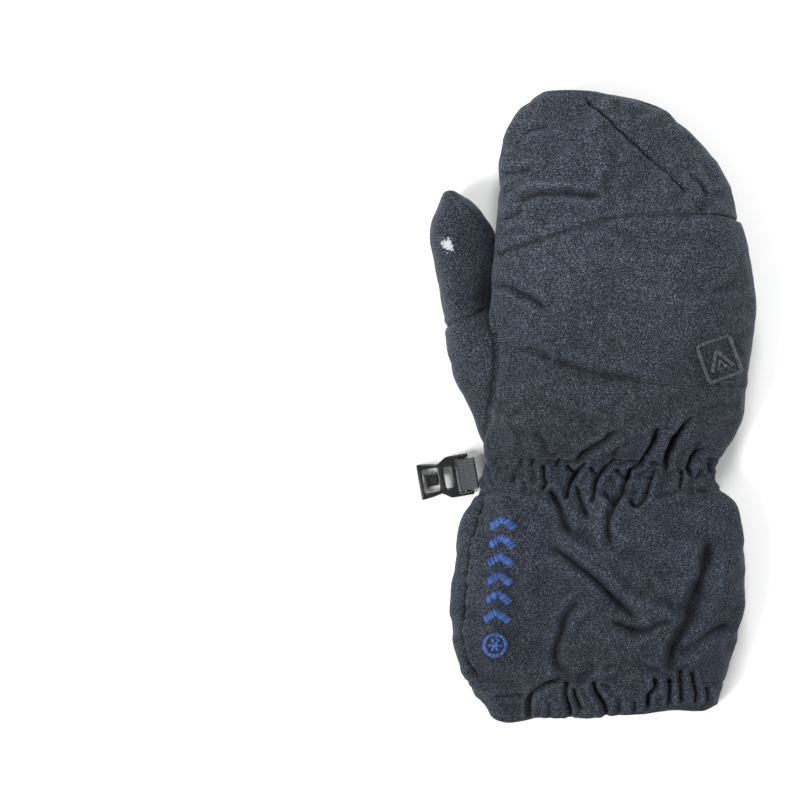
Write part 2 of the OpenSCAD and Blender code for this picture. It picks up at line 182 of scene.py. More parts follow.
def knots(y):
    """Angles of the columns at one row, with the slanting seam and the side strip on grid columns."""
    a = ang0.copy()
    def solve(xt, yy):
        xl, xr = tab(BODY, yy, 1), tab(BODY, yy, 2)
        X = np.clip((xt - (xl + xr) / 2) / ((xr - xl) / 2), -0.995, 0.995)
        return math.acos(np.sign(X) * abs(X) ** (1 / 0.84))
    aS, aT = ang0[C_SLANT], ang0[C_STRIP]
    if y > 58:
        k = min(1, (y - 58) / 14)
        k = k * k * (3 - 2 * k)
        aS = (1 - k) * aS + k * solve(tab(SLANT, y), y)
    if y < -14:
        k = min(1, (-14 - y) / 20)
        k = k * k * (3 - 2 * k)
        aT = (1 - k) * aT + k * solve(tab(STRIP, y), y)
    b = ang0[:NB]
    out = np.where(b <= ang0[C_SLANT], b * aS / ang0[C_SLANT],
                   np.where(b <= ang0[C_STRIP],
                            aS + (b - ang0[C_SLANT]) * (aT - aS) / (ang0[C_STRIP] - ang0[C_SLANT]),
                            aT + (b - ang0[C_STRIP]) * (math.pi - aT) / (math.pi - ang0[C_STRIP])))
    a[:NB] = out
    return a


def body_grid():
    P = np.zeros((NR, NC, 3))
    A = np.zeros((NR, NC))
    for r, (lo, hi, t) in enumerate(rows):
        y = lo(np.zeros(NC)) * (1 - t) + hi(np.zeros(NC)) * t
        x = np.zeros(NC)
        a = knots(float(np.mean(y)))
        for _ in range(5):
            x, z = ring(BODY, y, a)
            y = lo(x) * (1 - t) + hi(x) * t
        x, z = ring(BODY, y, a)
        xl, xr, z0, z1 = (tab(BODY, y, k) for k in (1, 2, 3, 4))
        xc, zm = (xl + xr) / 2, z0 + 0.42 * (z1 - z0)
        side = np.clip((xc - x) / (xc - xl), 0, 1) ** 3 * np.clip((zm + 1 - z) / 7, 0, 1)
        x = x + 3.6 * side * np.exp(-((y - 52) / 15) ** 4)     # overhangs the thumb
        P[r] = np.stack([x, y, z], 1)
        A[r] = a
    return P, A


def normals(P, closed=True):
    dv = np.gradient(P, axis=0)
    if closed:
        du = (np.roll(P, -1, 1) - np.roll(P, 1, 1)) / 2
    else:
        du = np.gradient(P, axis=1)
    n = np.cross(dv, du)
    return n / (np.linalg.norm(n, axis=2, keepdims=True) + 1e-9)


def smooth_grid(F, k, closed=True):
    for _ in range(k):
        up = np.concatenate([F[:1], F[:-1]], 0)
        dn = np.concatenate([F[1:], F[-1:]], 0)
        G = (up + dn + 2 * F) / 4
        G = (np.roll(G, 1, 1) + np.roll(G, -1, 1) + 2 * G) / 4 if closed else G
        F = G
    return F


class Waves:
    """Smooth seeded noise: a sum of plane waves."""
    def __init__(self, seed, wavelength, n=26, spread=0.45):
        g = np.random.default_rng(seed)
        k = g.normal(size=(n, 3))
        k /= np.linalg.norm(k, axis=1, keepdims=True)
        self.k = k * (2 * math.pi / (wavelength * (1 + spread * g.uniform(-1, 1, (n, 1)))))
        self.p = g.uniform(0, 2 * math.pi, n)
        self.n = n

    def __call__(self, P):
        out = np.zeros(P.shape[:-1])
        for k, p in zip(self.k, self.p):
            out += np.cos(P @ k + p)
        return out / math.sqrt(self.n / 2)


def poly_dist(x, y, pts):
    """Signed distance to a line through points (left of its run is positive), and how far along it, 0 to 1."""
    pts = np.array(pts, float)
    if len(pts) > 2:   # rounded corners
        t = np.arange(len(pts))
        f = np.linspace(0, len(pts) - 1, (len(pts) - 1) * 6 + 1)
        T = np.column_stack([t, pts])
        pts = np.column_stack([tab(T, f, 1), tab(T, f, 2)])
    seg = np.linalg.norm(np.diff(pts, axis=0), axis=1)
    cum = np.concatenate([[0], np.cumsum(seg)])
    best = np.full(x.shape, 1e9)
    sgn = np.ones(x.shape)
    along = np.zeros(x.shape)
    for i in range(len(seg)):
        d = (pts[i + 1] - pts[i]) / seg[i]
        rx, ry = x - pts[i, 0], y - pts[i, 1]
        u = np.clip(rx * d[0] + ry * d[1], 0, seg[i])
        ex, ey = rx - u * d[0], ry - u * d[1]
        dist = np.hypot(ex, ey)
        m = dist < best
        best = np.where(m, dist, best)
        sgn = np.where(m, np.where(d[0] * ry - d[1] * rx >= 0, 1, -1), sgn)
        along = np.where(m, (cum[i] + u) / cum[-1], along)
    return best * sgn, along, cum[-1]


def crease(x, y, pts, w, d, bl=0.0, br=0.0, ends=0.16):
    """A fold line: a valley w wide and d deep, with swells of bl and br on its two sides."""
    p = np.array(pts, float)
    m = 9 * w + 3
    box = ((x > p[:, 0].min() - m) & (x < p[:, 0].max() + m) & (y > p[:, 1].min() - m) & (y < p[:, 1].max() + m))
    out = np.zeros(x.shape)
    if not box.any():
        return out
    r, s, _ = poly_dist(x[box], y[box], pts)
    taper = np.clip(np.minimum(s, 1 - s) / ends, 0, 1)
    taper = taper * taper * (3 - 2 * taper)
    q = np.abs(r) / w
    v = -d * (0.62 * np.exp(-1.5 * q) + 0.5 * np.exp(-(q / 1.5) ** 2))
    sw = 2.6
    v += 1.25 * (bl * (r > 0) + br * (r < 0)) * np.exp(-((q - sw) / 1.7) ** 2)
    out[box] = v * taper
    return out


# Fold lines on the back: points, width, depth, swell to the left, swell to the right
FOLDS = [
    # fingers
    ([(-32.5, 70.2), (-27.8, 72.3), (-23.5, 74.6)], 1.0, 1.0, 0.3, 0.3),
    ([(-29.5, 75.8), (-23.5, 77.9), (-18.3, 79.4), (-11.4, 79.8), (-4.6, 79.4), (1.5, 78.9), (7.9, 78.6)], 1.3, 1.9, 0.9, 0.5),
    ([(-32, 64.1), (-27.8, 65), (-22.6, 65.7)], 1.1, 0.7, 0.3, 0.2),
    ([(-32.5, 86.9), (-26, 88.2), (-20.9, 89.5)], 1.1, 1.1, 0.4, 0.3),
    ([(-24.5, 102.6), (-18.3, 104.7), (-13.5, 105.4)], 1.2, 1.1, 0.3, 0.4),
    ([(-32, 80.5), (-28.6, 81.8)], 1.0, 0.7, 0.2, 0.2),
    ([(-31.5, 98), (-28, 99.6)], 1.0, 0.6, 0.2, 0.2),
    ([(38, 87.5), (42, 84), (46.5, 78)], 1.6, 0.6, 0.4, 0.0),
    # hand
    ([(-36.5, 45.6), (-30.4, 44.8), (-25.2, 42.2), (-20, 39.6), (-14.8, 35.2)], 1.4, 1.9, 0.9, 0.6),
    ([(-23.5, 22), (-18.3, 20.3), (-13.2, 16.8)], 1.5, 1.0, 0.5, 0.2),
    ([(-40, 6.5), (-34, 1), (-28, -0.6)], 1.8, 1.0, 0.4, 0.5),
    ([(-30, -4.5), (-25, -1.5), (-21, 1.5)], 1.5, 0.9, 0.3, 0.4),
    ([(-4, -20), (0.6, -16.5), (6.6, -12.7), (12.6, -8.4)], 1.6, 1.9, 0.8, 0.9),
    ([(23, -20.5), (25, -12.7), (27.3, -7.5)], 1.5, 1.8, 0.6, 0.9),
    ([(29, -22), (32.4, -14.4), (37.6, -7.5), (41, -3)], 1.5, 2.0, 0.9, 0.8),
    ([(39.3, -23), (41, -17.9), (44, -14)], 1.3, 1.5, 0.5, 0.6),
    ([(10, -19), (12, -15.5), (16, -13)], 1.3, 1.2, 0.4, 0.5),
    ([(-14, -20), (-16, -14.5), (-20, -10)], 1.4, 1.1, 0.4, 0.4),
    ([(44, 40), (50, 44), (57, 45.5)], 2.6, 0.5, 0.3, 0.3),
    ([(40, -8), (46, -2), (53, 1.5)], 2.0, 0.7, 0.4, 0.4),
    # gathered wrist
    ([(-19.9, -19.2), (-20.9, -23.7)], 0.7, 1.2, 0.4, 0.4),
    ([(-16.1, -21.7), (-16.0, -27.4), (-15.4, -29.3), (-17.5, -32.1)], 0.75, 2.4, 0.8, 0.7),
    ([(-11.0, -17.0), (-13.2, -19.5)], 0.8, 1.3, 0.4, 0.4),
    ([(-9.9, -19.7), (-11.4, -23.9)], 0.7, 1.8, 0.5, 0.5),
    ([(9.7, -10.6), (5.3, -14.0), (0.8, -17.0), (-2.6, -19.9), (-4.4, -22.4)], 0.95, 2.6, 0.6, 1.1),
    ([(0.6, -20.4), (-2.6, -24.4), (-6.1, -28.8), (-7.6, -33.3), (-9.8, -36.0)], 0.8, 2.9, 0.9, 0.9),
    ([(-7.6, -22.7), (-4.7, -25.6)], 0.75, 1.8, 0.5, 0.5),
    ([(1.3, -23.2), (3.8, -26.4)], 0.75, 1.8, 0.5, 0.5),
    ([(12.0, -19.7), (8.2, -22.9), (4.8, -26.9), (3.3, -29.8), (2.6, -34.3), (1.1, -37.2)], 0.85, 2.9, 0.9, 0.9),
    ([(-4.4, -29.3), (-2.1, -34.8), (-0.6, -38.2), (0.4, -42.7)], 0.85, 2.0, 0.6, 0.7),
    ([(5.5, -32.5), (8.2, -35.8), (9.7, -37.7)], 0.8, 2.0, 0.6, 0.6),
    ([(27.5, -9.1), (25.5, -13.0), (24.1, -15.5), (22.1, -18.5), (20.6, -21.9), (16.7, -24.4), (15.7, -26.9), (14.4, -29.8), (13.2, -33.3), (10.2, -37.2), (8.5, -39.7)], 0.9, 2.9, 0.9, 1.0),
    ([(37.9, -7.6), (33.9, -12.0), (32.0, -15.5), (30.5, -19.0), (30.0, -26.4)], 0.95, 2.6, 0.9, 0.9),
    ([(26.3, -24.1), (24.5, -28.3), (23.6, -31.3), (22.1, -34.3), (19.1, -37.5), (17.0, -36.5), (15.9, -33.3)], 0.75, 2.2, 0.7, 0.6),
    ([(21.8, -27.1), (25.8, -28.1)], 0.6, 1.0, 0.3, 0.3),
    ([(36.5, -24.1), (35.4, -31.6)], 0.75, 2.2, 0.7, 0.7),
    ([(45.8, -17.0), (41.8, -19.0), (38.9, -22.4), (39.3, -27.9)], 0.95, 2.2, 0.7, 0.8),
    ([(46.3, -21.9), (47.0, -26.4)], 0.7, 1.4, 0.4, 0.4),
    ([(43.3, -25.9), (41.4, -27.6)], 0.7, 1.2, 0.3, 0.3),
    ([(11.7, -23.9), (14.4, -28.3)], 0.75, 1.6, 0.5, 0.5),
    ([(-14.0, -31.3), (-11.5, -34.5), (-9.0, -39.2)], 0.9, 2.2, 0.9, 0.6),
    ([(-29.8, -21.9), (-29.2, -24.6)], 0.8, 0.8, 0.3, 0.3),
    ([(-27.2, -25.9), (-27.8, -29.6)], 0.8, 0.9, 0.3, 0.3),
    ([(-23.1, -28.8), (-22.8, -32.3)], 0.8, 0.9, 0.3, 0.3),
    ([(-34.2, -19.9), (-35.0, -23.9)], 0.8, 0.7, 0.3, 0.3),
    ([(-24.4, -19.5), (-24.6, -23.9)], 0.8, 0.9, 0.3, 0.3),
    # cuff, from the wrist
    ([(-15.5, -31.5), (-11.4, -36), (-8.9, -41.1), (-8, -45.4), (-6, -50)], 1.5, 2.5, 1.1, 0.7, 0.2),
    ([(9, -32), (10.4, -37.7), (8.6, -42), (8.3, -48), (9.6, -53.2)], 1.5, 2.4, 0.7, 1.1, 0.2),
    ([(-3, -36.5), (-0.5, -41)], 1.3, 1.2, 0.4, 0.4),
    ([(-28, -44), (-22, -46.2)], 3.0, 1.2, 0.3, 0.3),
    ([(34, -34), (36, -44), (33, -56)], 3.6, 0.9, 0.5, 0.4),
    # the long slanting fold
    ([(-15, -51.5), (-8, -56.6), (-1, -61.8), (4, -66), (8.3, -70.4), (11.8, -74), (16.1, -78.1), (20, -81.8)], 1.9, 2.9, 1.9, 0.4, 0.12),
    ([(9, -81), (16.1, -84.1), (22.1, -85), (27.3, -82.4), (33.5, -81.3)], 1.9, 2.6, 1.1, 1.0, 0.15),
    ([(-4, -66), (2, -72), (9, -77.5)], 3.2, 1.1, 0.0, 0.8),
    ([(12, -69), (20, -70.5), (27, -67)], 4.5, 1.7, 0.4, 0.5),
    # the deep fold on the outer side
    ([(47.5, -49.5), (45.3, -58.3), (43.6, -65.2), (41.9, -73), (39.3, -79.8), (35.9, -86.7), (32.4, -93.6), (30.7, -101.5)], 2.9, 4.2, 1.6, 1.9, 0.14),
    ([(34.2, -95.3), (41, -90.2), (47.1, -85.9), (52.2, -84.1), (57, -82.8)], 1.8, 2.4, 1.1, 1.0, 0.14),
    # the round fold
    ([(-1.1, -73), (-5.4, -76.4), (-8, -80.7), (-9.7, -86.7), (-11.4, -92.7), (-11, -97.5), (-7.5, -101.5)], 1.5, 2.3, 0.7, 1.1, 0.16),
    ([(-4, -104), (1, -100), (2.5, -96)], 1.8, 1.2, 0.5, 0.4),
    ([(10, -100), (20, -98), (29, -99.5)], 2.5, 0.9, 0.4, 0.4),
    # hem
    ([(-9.0, -102.6), (-13.5, -104.4), (-18.0, -106.9), (-20.4, -108.9), (-21.7, -113.0), (-22.0, -120.0)], 0.95, 2.7, 1.1, 0.8, 0.1),
    ([(-7.3, -103.6), (-7.7, -109.4), (-6.2, -114.5), (-6.3, -119.0)], 0.85, 2.7, 0.7, 0.8, 0.1),
    ([(-5.0, -105.7), (-3.9, -110.4), (-1.7, -115.0)], 0.8, 1.9, 0.6, 0.6, 0.12),
    ([(2.4, -103.1), (3.5, -107.9), (6.6, -113.0), (7.7, -117.5)], 0.9, 2.6, 0.8, 0.8, 0.1),
    ([(3.9, -104.7), (9.4, -106.7)], 0.7, 0.9, 0.3, 0.3, 0.2),
    ([(-14.0, -110.4), (-13.5, -118.0)], 0.9, 1.0, 0.4, 0.4, 0.2),
    ([(12.2, -109.4), (12.4, -117.0)], 0.9, 1.1, 0.4, 0.4, 0.2),
    ([(18.0, -111.0), (18.5, -116.5)], 0.8, 1.2, 0.4, 0.4, 0.2),
    ([(25.7, -102.5), (26.0, -106.9), (23.5, -109.9), (23.3, -115.5)], 0.95, 2.7, 0.9, 0.8, 0.1),
    ([(31.3, -102.9), (31.8, -108.4), (31.8, -114.0)], 0.9, 2.6, 0.8, 0.8, 0.1),
    ([(35.9, -99.4), (35.5, -105.9), (36.1, -113.0)], 0.9, 2.0, 0.7, 0.7, 0.1),
    ([(39.4, -100.4), (41.5, -108.7), (41.4, -113.0)], 0.85, 2.0, 0.7, 0.7, 0.1),
    ([(45.4, -105.9), (45.2, -113.0)], 0.8, 1.3, 0.5, 0.5, 0.15),
    ([(12.2, -97.4), (10.7, -97.6), (5.6, -100.1)], 0.8, 1.0, 0.4, 0.2, 0.2),
    ([(14.2, -100.1), (18.7, -100.4)], 0.7, 0.8, 0.3, 0.2, 0.2),
    ([(-35.4, -110.4), (-29.6, -111.0), (-23.3, -110.0)], 0.7, 1.0, 0.3, 0.3, 0.1),
    ([(11.2, -105.9), (20.0, -105.7)], 0.6, 0.8, 0.2, 0.2, 0.1),
]


def seam_relief(x, y, pts, w=1.0, d=0.9, pucker=0.28, pitch=5.0, seed=0, step=0.0):
    r, s, L = poly_dist(x, y, pts)
    g = np.random.default_rng(seed)
    ph = 2 * math.pi * s * L / pitch
    ph = ph + 0.9 * np.sin(ph * 0.37 + g.uniform(0, 6)) + 0.7 * np.sin(ph * 0.183 + g.uniform(0, 6))
    q = np.abs(r)
    v = -d * (0.8 * np.exp(-1.5 * q / w) + 0.45 * np.exp(-(q / (1.6 * w)) ** 2)) - 0.30 * d * np.exp(-(q / (3.4 * w)) ** 2)
    v += pucker * np.sin(ph + 0.25 * r) * np.exp(-(q / (4.2 * w)) ** 2)
    v += step * np.sign(r) * np.exp(-(q / (2.6 * w)) ** 2)
    ends = np.clip(np.minimum(s, 1 - s) * L / 2.0, 0, 1)
    return v * ends


def along(T, lo, hi, n=24):
    x = np.linspace(lo, hi, n)
    return list(zip(x, tab(T, x)))


P0, A0 = body_grid()
N0 = normals(smooth_grid(P0, 3))
X, Y, Z = P0[..., 0], P0[..., 1], P0[..., 2]
back = np.clip(0.5 + 6 * np.sin(A0), 0, 1)          # 1 over the back, 0 under the palm
palm = 1 - back

puff = Waves(3, 46)(P0) * 0.55 + Waves(5, 21)(P0) * 0.28 + Waves(8, 9.5)(P0) * 0.11
cuffish = 1 / (1 + np.exp((Y + 30) / 4))
puff = puff + cuffish * (Waves(11, 30)(P0) * 1.0 + Waves(12, 15)(P0) * 0.55) + Waves(13, 6.0)(P0) * 0.07
flank = np.abs(np.cos(A0)) ** 6                       # calm along the outline
puff = puff * (1 - 0.55 * flank)
wristy = np.exp(-((Y + 26.5) / 6.5) ** 4)
puff = puff + wristy * (Waves(41, 4.6)(P0) * 0.30 + Waves(42, 8.5)(P0) * 0.35)
D = puff
relief = np.zeros_like(X)
for f in FOLDS:
    relief += crease(X, Y, f[0], 0.9 * f[1], 1.12 * f[2], *f[3:])
relief += seam_relief(X, Y, [(tab(SLANT, v), v) for v in np.linspace(79, 117, 20)][::-1], 0.62, 1.0, 0.10, 7, 1, step=-0.55)
relief += seam_relief(X, Y, [(tab(SLANT, v), v) for v in np.linspace(70.5, 79, 8)][::-1], 0.6, 0.5, 0.10, 7, 1, step=-0.2)
relief += crease(X, Y, [(38, 87.6), (42, 84), (46.2, 77.9)], 1.1, 0.9, 0.5, 0.3)
relief += crease(X, Y, [(43.5, 92), (47, 85), (50, 78)], 1.6, 0.5, 0.5, 0.2)
relief += seam_relief(X, Y, along(KNUCKLE, -35, 12), 0.62, 1.35, 0.30, 3.2, 2, step=0.22)
relief += seam_relief(X, Y, along(KNUCKLE, 12, 60), 0.6, 0.7, 0.16, 4.6, 3, step=0.08)
relief += seam_relief(X, Y, along(HEEL, -13, 21), 1.3, 1.8, 0.15, 6.0, 4, step=-0.4)
relief += seam_relief(X, Y, along(HEEL, 21, 61), 0.6, 0.55, 0.16, 5.0, 5)
relief += seam_relief(X, Y, along(HEEL, -38, -13), 0.6, 0.35, 0.12, 5.0, 6)
relief += seam_relief(X, Y, [(tab(STRIP, v), v) for v in np.linspace(-34, -104, 20)], 0.8, 0.9, 0.22, 4.0, 7, step=0.1)
D = D + relief * back
# the palm side has its own, plainer folds
under = np.zeros_like(X)
g = np.random.default_rng(21)
for k in range(11):                                  # gathers under the wrist
    x0 = -36 + 8.2 * k + g.uniform(-1.5, 1.5)
    sl = g.uniform(2, 5) * (1 if k % 2 else -1)
    under += crease(X, Y, [(x0 - sl, -19), (x0, -26), (x0 + sl, -34)], 1.2, 1.6, 0.6, 0.6)
for k in range(15):                                  # and under the hem
    x0 = -38 + 6.2 * k + g.uniform(-1, 1)
    under += crease(X, Y, [(x0, -101), (x0 + g.uniform(-1, 1), -117)], 1.1, 1.3, 0.5, 0.5, 0.3)
for pts in ([(-30, 63), (0, 66), (34, 65), (55, 67)], [(-26, 52), (0, 55), (30, 54)], [(-20, 30), (0, 24), (20, 8)],
            [(-34, -50), (-10, -62), (12, -80)], [(45, -46), (36, -66), (38, -90)]):
    under += crease(X, Y, pts, 2.0, 1.2, 0.3, 0.3)
under += seam_relief(X, Y, along(KNUCKLE, -35, 60), 0.9, 0.7, 0.2, 4.5, 9)
D = D + under * palm * 0.8
# gathered bands: dips along the elastic, between the folds
for yy, dd, ww in ((-20.4, 0.9, 0.9), (-32.4, 1.1, 0.9), (-26.4, 0.35, 0.8)):
    wob = yy + 0.6 * np.sin(X / 5.3) + 0.4 * np.sin(X / 2.9 + 1)
    D -= dd * np.exp(-((Y - wob) / ww) ** 2) * (0.7 + 0.3 * np.sin(X / 3.1 + 2 * np.sin(X / 7)))
D -= 0.45 * np.exp(-((Y + 104.6) / 0.8) ** 2)         # hem stitching
# side seams
for c0, dd in ((0, 0.7), (NB, 0.7)):
    cc = np.minimum(np.abs(np.arange(NC) - c0), NC - np.abs(np.arange(NC) - c0)).astype(float)
    D -= dd * np.exp(-(cc / 1.3) ** 2)[None, :] * (1 - 0.35 * np.sin(Y / 1.1))
def top_of(T, x, y):
    """Height of a tube's upper side over a point, or low where there is none."""
    xl, xr, z0, z1 = (tab(T, y, k) for k in (1, 2, 3, 4))
    u = np.clip(np.abs((x - (xl + xr) / 2) / ((xr - xl) / 2)), 0, 1)
    sn = np.sqrt(np.clip(1 - (u ** (1 / 0.84)) ** 2, 0, 1))
    zm = z0 + 0.42 * (z1 - z0)
    ok = (y > T[0, 0]) & (y < T[-1, 0]) & (u < 1)
    return np.where(ok, zm + (z1 - zm) * sn ** 0.86, -50)


gap = Z - top_of(THUMB, X, Y)
root = np.clip((Y + 14) / 10, 0, 1) * np.clip((37 - Y) / 3, 0, 1) * (X < -25) * (np.sin(A0) > -0.2)
D -= 1.7 * np.exp(-(gap / 1.3) ** 2) * root
D *= np.clip((119.5 - Y) / 5, 0.15, 1)                # nothing sharp at the very tip
D = np.clip(D, -5.0, 3.0)
P = P0 + N0 * D[..., None]


def resample(F, rr_, cc_):
    """From the coarse rows and columns back to the full grid, columns closing on themselves."""
    out = np.empty((NR, F.shape[1], F.shape[2]))
    for a_ in range(F.shape[1]):
        for b_ in range(F.shape[2]):
            out[:, a_, b_] = np.interp(np.arange(NR), rr_, F[:, a_, b_])
    full = np.empty((NR, NC, F.shape[2]))
    cc2 = np.append(cc_, NC)
    out = np.concatenate([out, out[:, :1]], 1)
    k = np.clip(np.searchsorted(cc2, np.arange(NC), side="right") - 1, 0, len(cc2) - 2)
    f = ((np.arange(NC) - cc2[k]) / (cc2[k + 1] - cc2[k]))[None, :, None]
    full = out[:, k] * (1 - f) + out[:, k + 1] * f
    return full


def settle(P, D, step=2, frames=14, pressure=2.5, cap=3.2):
    """Stuff the mitten: the cloth is cut a little larger than its outline and blown up while its seams,
    gathers and folds hold it, so that it crumples between them. Gives each point's move in mm."""
    rr_ = np.unique(np.append(np.arange(0, NR, step), NR - 1))
    cc_ = np.arange(0, NC, step)
    G = P[rr_][:, cc_]
    R, C = G.shape[:2]
    V = (G.reshape(-1, 3) * MM).tolist()
    idx = np.arange(R * C).reshape(R, C)
    c2 = np.roll(idx, -1, 1)
    F = np.stack([idx[:-1], c2[:-1], c2[1:], idx[1:]], -1).reshape(-1, 4)[:, ::-1].tolist()
    for ring_, turned in ((idx[0], False), (idx[-1], True)):
        V.append((G.reshape(-1, 3)[ring_].mean(0) * MM).tolist())
        k = len(V) - 1
        for i in range(C):
            a_, b_ = int(ring_[i]), int(ring_[(i + 1) % C])
            F.append((b_, a_, k) if turned else (a_, b_, k))
    me = bpy.data.meshes.new("sim")
    me.from_pydata(V, [], F)
    o = bpy.data.objects.new("sim", me)
    bpy.context.scene.collection.objects.link(o)
    Dg = D[rr_][:, cc_]
    y, z = G[..., 1], G[..., 2]
    hold = np.clip((-Dg - 0.8) / 1.2, 0, 1) * 0.9
    hold = np.maximum(hold, np.exp(-((y + 104.5) / 1.5) ** 2) * 0.5)
    for yy in (-20.4, -32.4):
        hold = np.maximum(hold, np.exp(-((y - yy) / 1.5) ** 2) * 0.6)
    hold[:2] = 1
    hold[-3:] = 1
    hold = np.maximum(hold, (z < 2.0) * 0.8)
    hold = np.maximum(hold, 0.04)
    vg = o.vertex_groups.new(name="hold")
    for q in range(21):                              # in steps, so that few calls are needed
        m_ = np.where(np.rint(hold.reshape(-1) * 20) == q)[0]
        if len(m_):
            vg.add(m_.tolist(), max(q / 20, 0.04), "REPLACE")
    vg.add([R * C, R * C + 1], 1.0, "REPLACE")
    spare = np.clip((-14 - y) / 24, 0, 1)             # more spare cloth in the cuff than in the hand
    vs = o.vertex_groups.new(name="spare")
    for q in range(11):
        m_ = np.where(np.rint(spare.reshape(-1) * 10) == q)[0]
        if len(m_):
            vs.add(m_.tolist(), q / 10, "REPLACE")
    m = o.modifiers.new("Cloth", "CLOTH")
    c = m.settings
    c.quality, c.mass = 5, 0.15
    c.tension_stiffness = c.compression_stiffness = 8
    c.shear_stiffness, c.bending_stiffness = 3, 0.15
    c.tension_damping = c.compression_damping = 8
    c.shear_damping, c.bending_damping, c.air_damping = 6, 0.5, 2
    c.use_pressure, c.uniform_pressure_force = True, pressure
    c.vertex_group_mass, c.pin_stiffness = "hold", 2.0
    c.vertex_group_shrink = "spare"
    c.shrink_min, c.shrink_max = -0.032, -0.06
    c.effector_weights.gravity = 0
    m.collision_settings.use_collision = False
    sc = bpy.context.scene
    sc.frame_start, sc.frame_end = 1, frames
    m.point_cache.frame_start, m.point_cache.frame_end = 1, frames
    for f in range(1, frames + 1):
        sc.frame_set(f)
    ev = o.evaluated_get(bpy.context.evaluated_depsgraph_get())
    co = np.empty(len(V) * 3)
    ev.data.vertices.foreach_get("co", co)
    d = co.reshape(-1, 3)[:R * C].reshape(R, C, 3) / MM - G
    bpy.data.objects.remove(o)
    bpy.data.meshes.remove(me)
    sc.frame_set(1)
    ln = np.linalg.norm(d, axis=2, keepdims=True)
    d = d * (np.minimum(ln, cap * np.tanh(ln / cap)) / (ln + 1e-9))
    print("settled: mean", round(float(ln.mean()), 3), "max", round(float(ln.max()), 2), "mm")
    return resample(d, rr_, cc_)


MOVE = settle(P, D)
near = np.clip((X + 42) / 12, 0, 1)                   # calm beside the thumb, where pieces meet
calm = 1 - (1 - near) * np.clip((Y + 16) / 6, 0, 1) * np.clip((74 - Y) / 8, 0, 1)
MOVE = smooth_grid(MOVE, 1) * calm[..., None]
MOVE[..., 0] *= 1 - 0.62 * flank
P = P + MOVE
D = D + (MOVE * N0).sum(-1)
low = P[..., 2]
P[..., 2] = np.where(low < 0.45, 0.45 - 0.25 * np.tanh((0.45 - low) / 0.6), low)

print("grid", P.shape, "min z", P[..., 2].min())


NI = normals(smooth_grid(P0, 16))


def lowest(F, k):
    for _ in range(k):
        G = np.minimum(F, np.minimum(np.concatenate([F[:1], F[:-1]]), np.concatenate([F[1:], F[-1:]])))
        F = np.minimum(G, np.minimum(np.roll(G, 1, 1), np.roll(G, -1, 1)))
    return F


SINK = smooth_grid(np.minimum(lowest(D, 5), 0), 3)
SINK = np.minimum(SINK, smooth_grid(lowest(D, 2), 1))
PI_ = P0 + NI * SINK[..., None]
PI_[..., 2] = np.maximum(PI_[..., 2], P[..., 2].min() + 0.0)



# ---------------------------------------------------------------- mesh helpers
def link(o):
    bpy.context.scene.collection.objects.link(o)
    return o


def finish_mesh(o, smooth=True):
    me = o.data
    if smooth:
        me.polygons.foreach_set("use_smooth", [True] * len(me.polygons))
    me.update()
    return o


def apply_mods(o):
    dg = bpy.context.evaluated_depsgraph_get()
    me = bpy.data.meshes.new_from_object(o.evaluated_get(dg))
    old = o.data
    o.modifiers.clear()
    o.data = me
    bpy.data.meshes.remove(old)
    return o


def mark(o, used, F):
    """Keep a value between 0 (in a fold) and 1 (on a ridge) on every point, for the fabric's painted shade in folds
    and painted highlight on ridges.
    """
    a = o.data.attributes.new("fold", "FLOAT", "POINT")
    a.data.foreach_set("value", np.ascontiguousarray(F.reshape(-1)[used], dtype=np.float32))


def sheet_mesh(name, G, keep=None, thick=0.0, wrap=False, flip=False, F=None):
    """A mesh from a block of grid points, thickened inwards. keep is a mask of cells."""
    R, C = G.shape[:2]
    idx = np.arange(R * C).reshape(R, C)
    cols = C if wrap else C - 1
    r, c = np.meshgrid(np.arange(R - 1), np.arange(cols), indexing="ij")
    c2 = (c + 1) % C
    quads = np.stack([idx[r, c], idx[r, c2], idx[r + 1, c2], idx[r + 1, c]], -1)
    if keep is not None:
        quads = quads[keep[: R - 1, :cols]]
    quads = quads.reshape(-1, 4)
    if not flip:
        quads = quads[:, ::-1]
    used = np.unique(quads)
    remap = np.full(R * C, -1)
    remap[used] = np.arange(len(used))
    me = bpy.data.meshes.new(name)
    me.from_pydata((G.reshape(-1, 3)[used] * MM).tolist(), [], remap[quads].tolist())
    me.update()
    o = link(bpy.data.objects.new(name, me))
    if F is not None:
        mark(o, used, F)
    if thick:
        m = o.modifiers.new("thick", "SOLIDIFY")
        m.thickness, m.offset, m.use_even_offset = thick * MM, -1.0, False
        m.use_quality_normals = True
        bpy.context.view_layer.update()
        apply_mods(o)
    return finish_mesh(o)


def fix_out(o):
    """Faces outwards."""
    bm = bmesh.new()
    bm.from_mesh(o.data)
    bmesh.ops.recalc_face_normals(bm, faces=bm.faces)
    bm.to_mesh(o.data)
    bm.free()
    return finish_mesh(o)


def block(G, r0, r1, c0, c1):
    """Grid rows r0..r1 and columns c0..c1 (both ends in), columns wrapping."""
    cols = np.arange(c0, c1 + 1) % G.shape[1]
    return G[r0:r1 + 1][:, cols]


def layer_block(name, G, N, r0, r1, c0, c1, d0, d1, close=False):
    """A closed layer between two depths under a surface."""
    cols = np.arange(c0, c1 + 1) % G.shape[1]
    A = G[r0:r1 + 1][:, cols] - N[r0:r1 + 1][:, cols] * d0
    o = sheet_mesh(name, A, thick=d1 - d0, wrap=False)
    return o


# ---------------------------------------------------------------- materials
def principled(name):
    m = bpy.data.materials.new(name)
    m.use_nodes = True
    nt = m.node_tree
    return m, nt, nt.nodes["Principled BSDF"]


def N_(nt, kind, **kw):
    n = nt.nodes.new(kind)
    for k, v in kw.items():
        setattr(n, k, v)
    return n


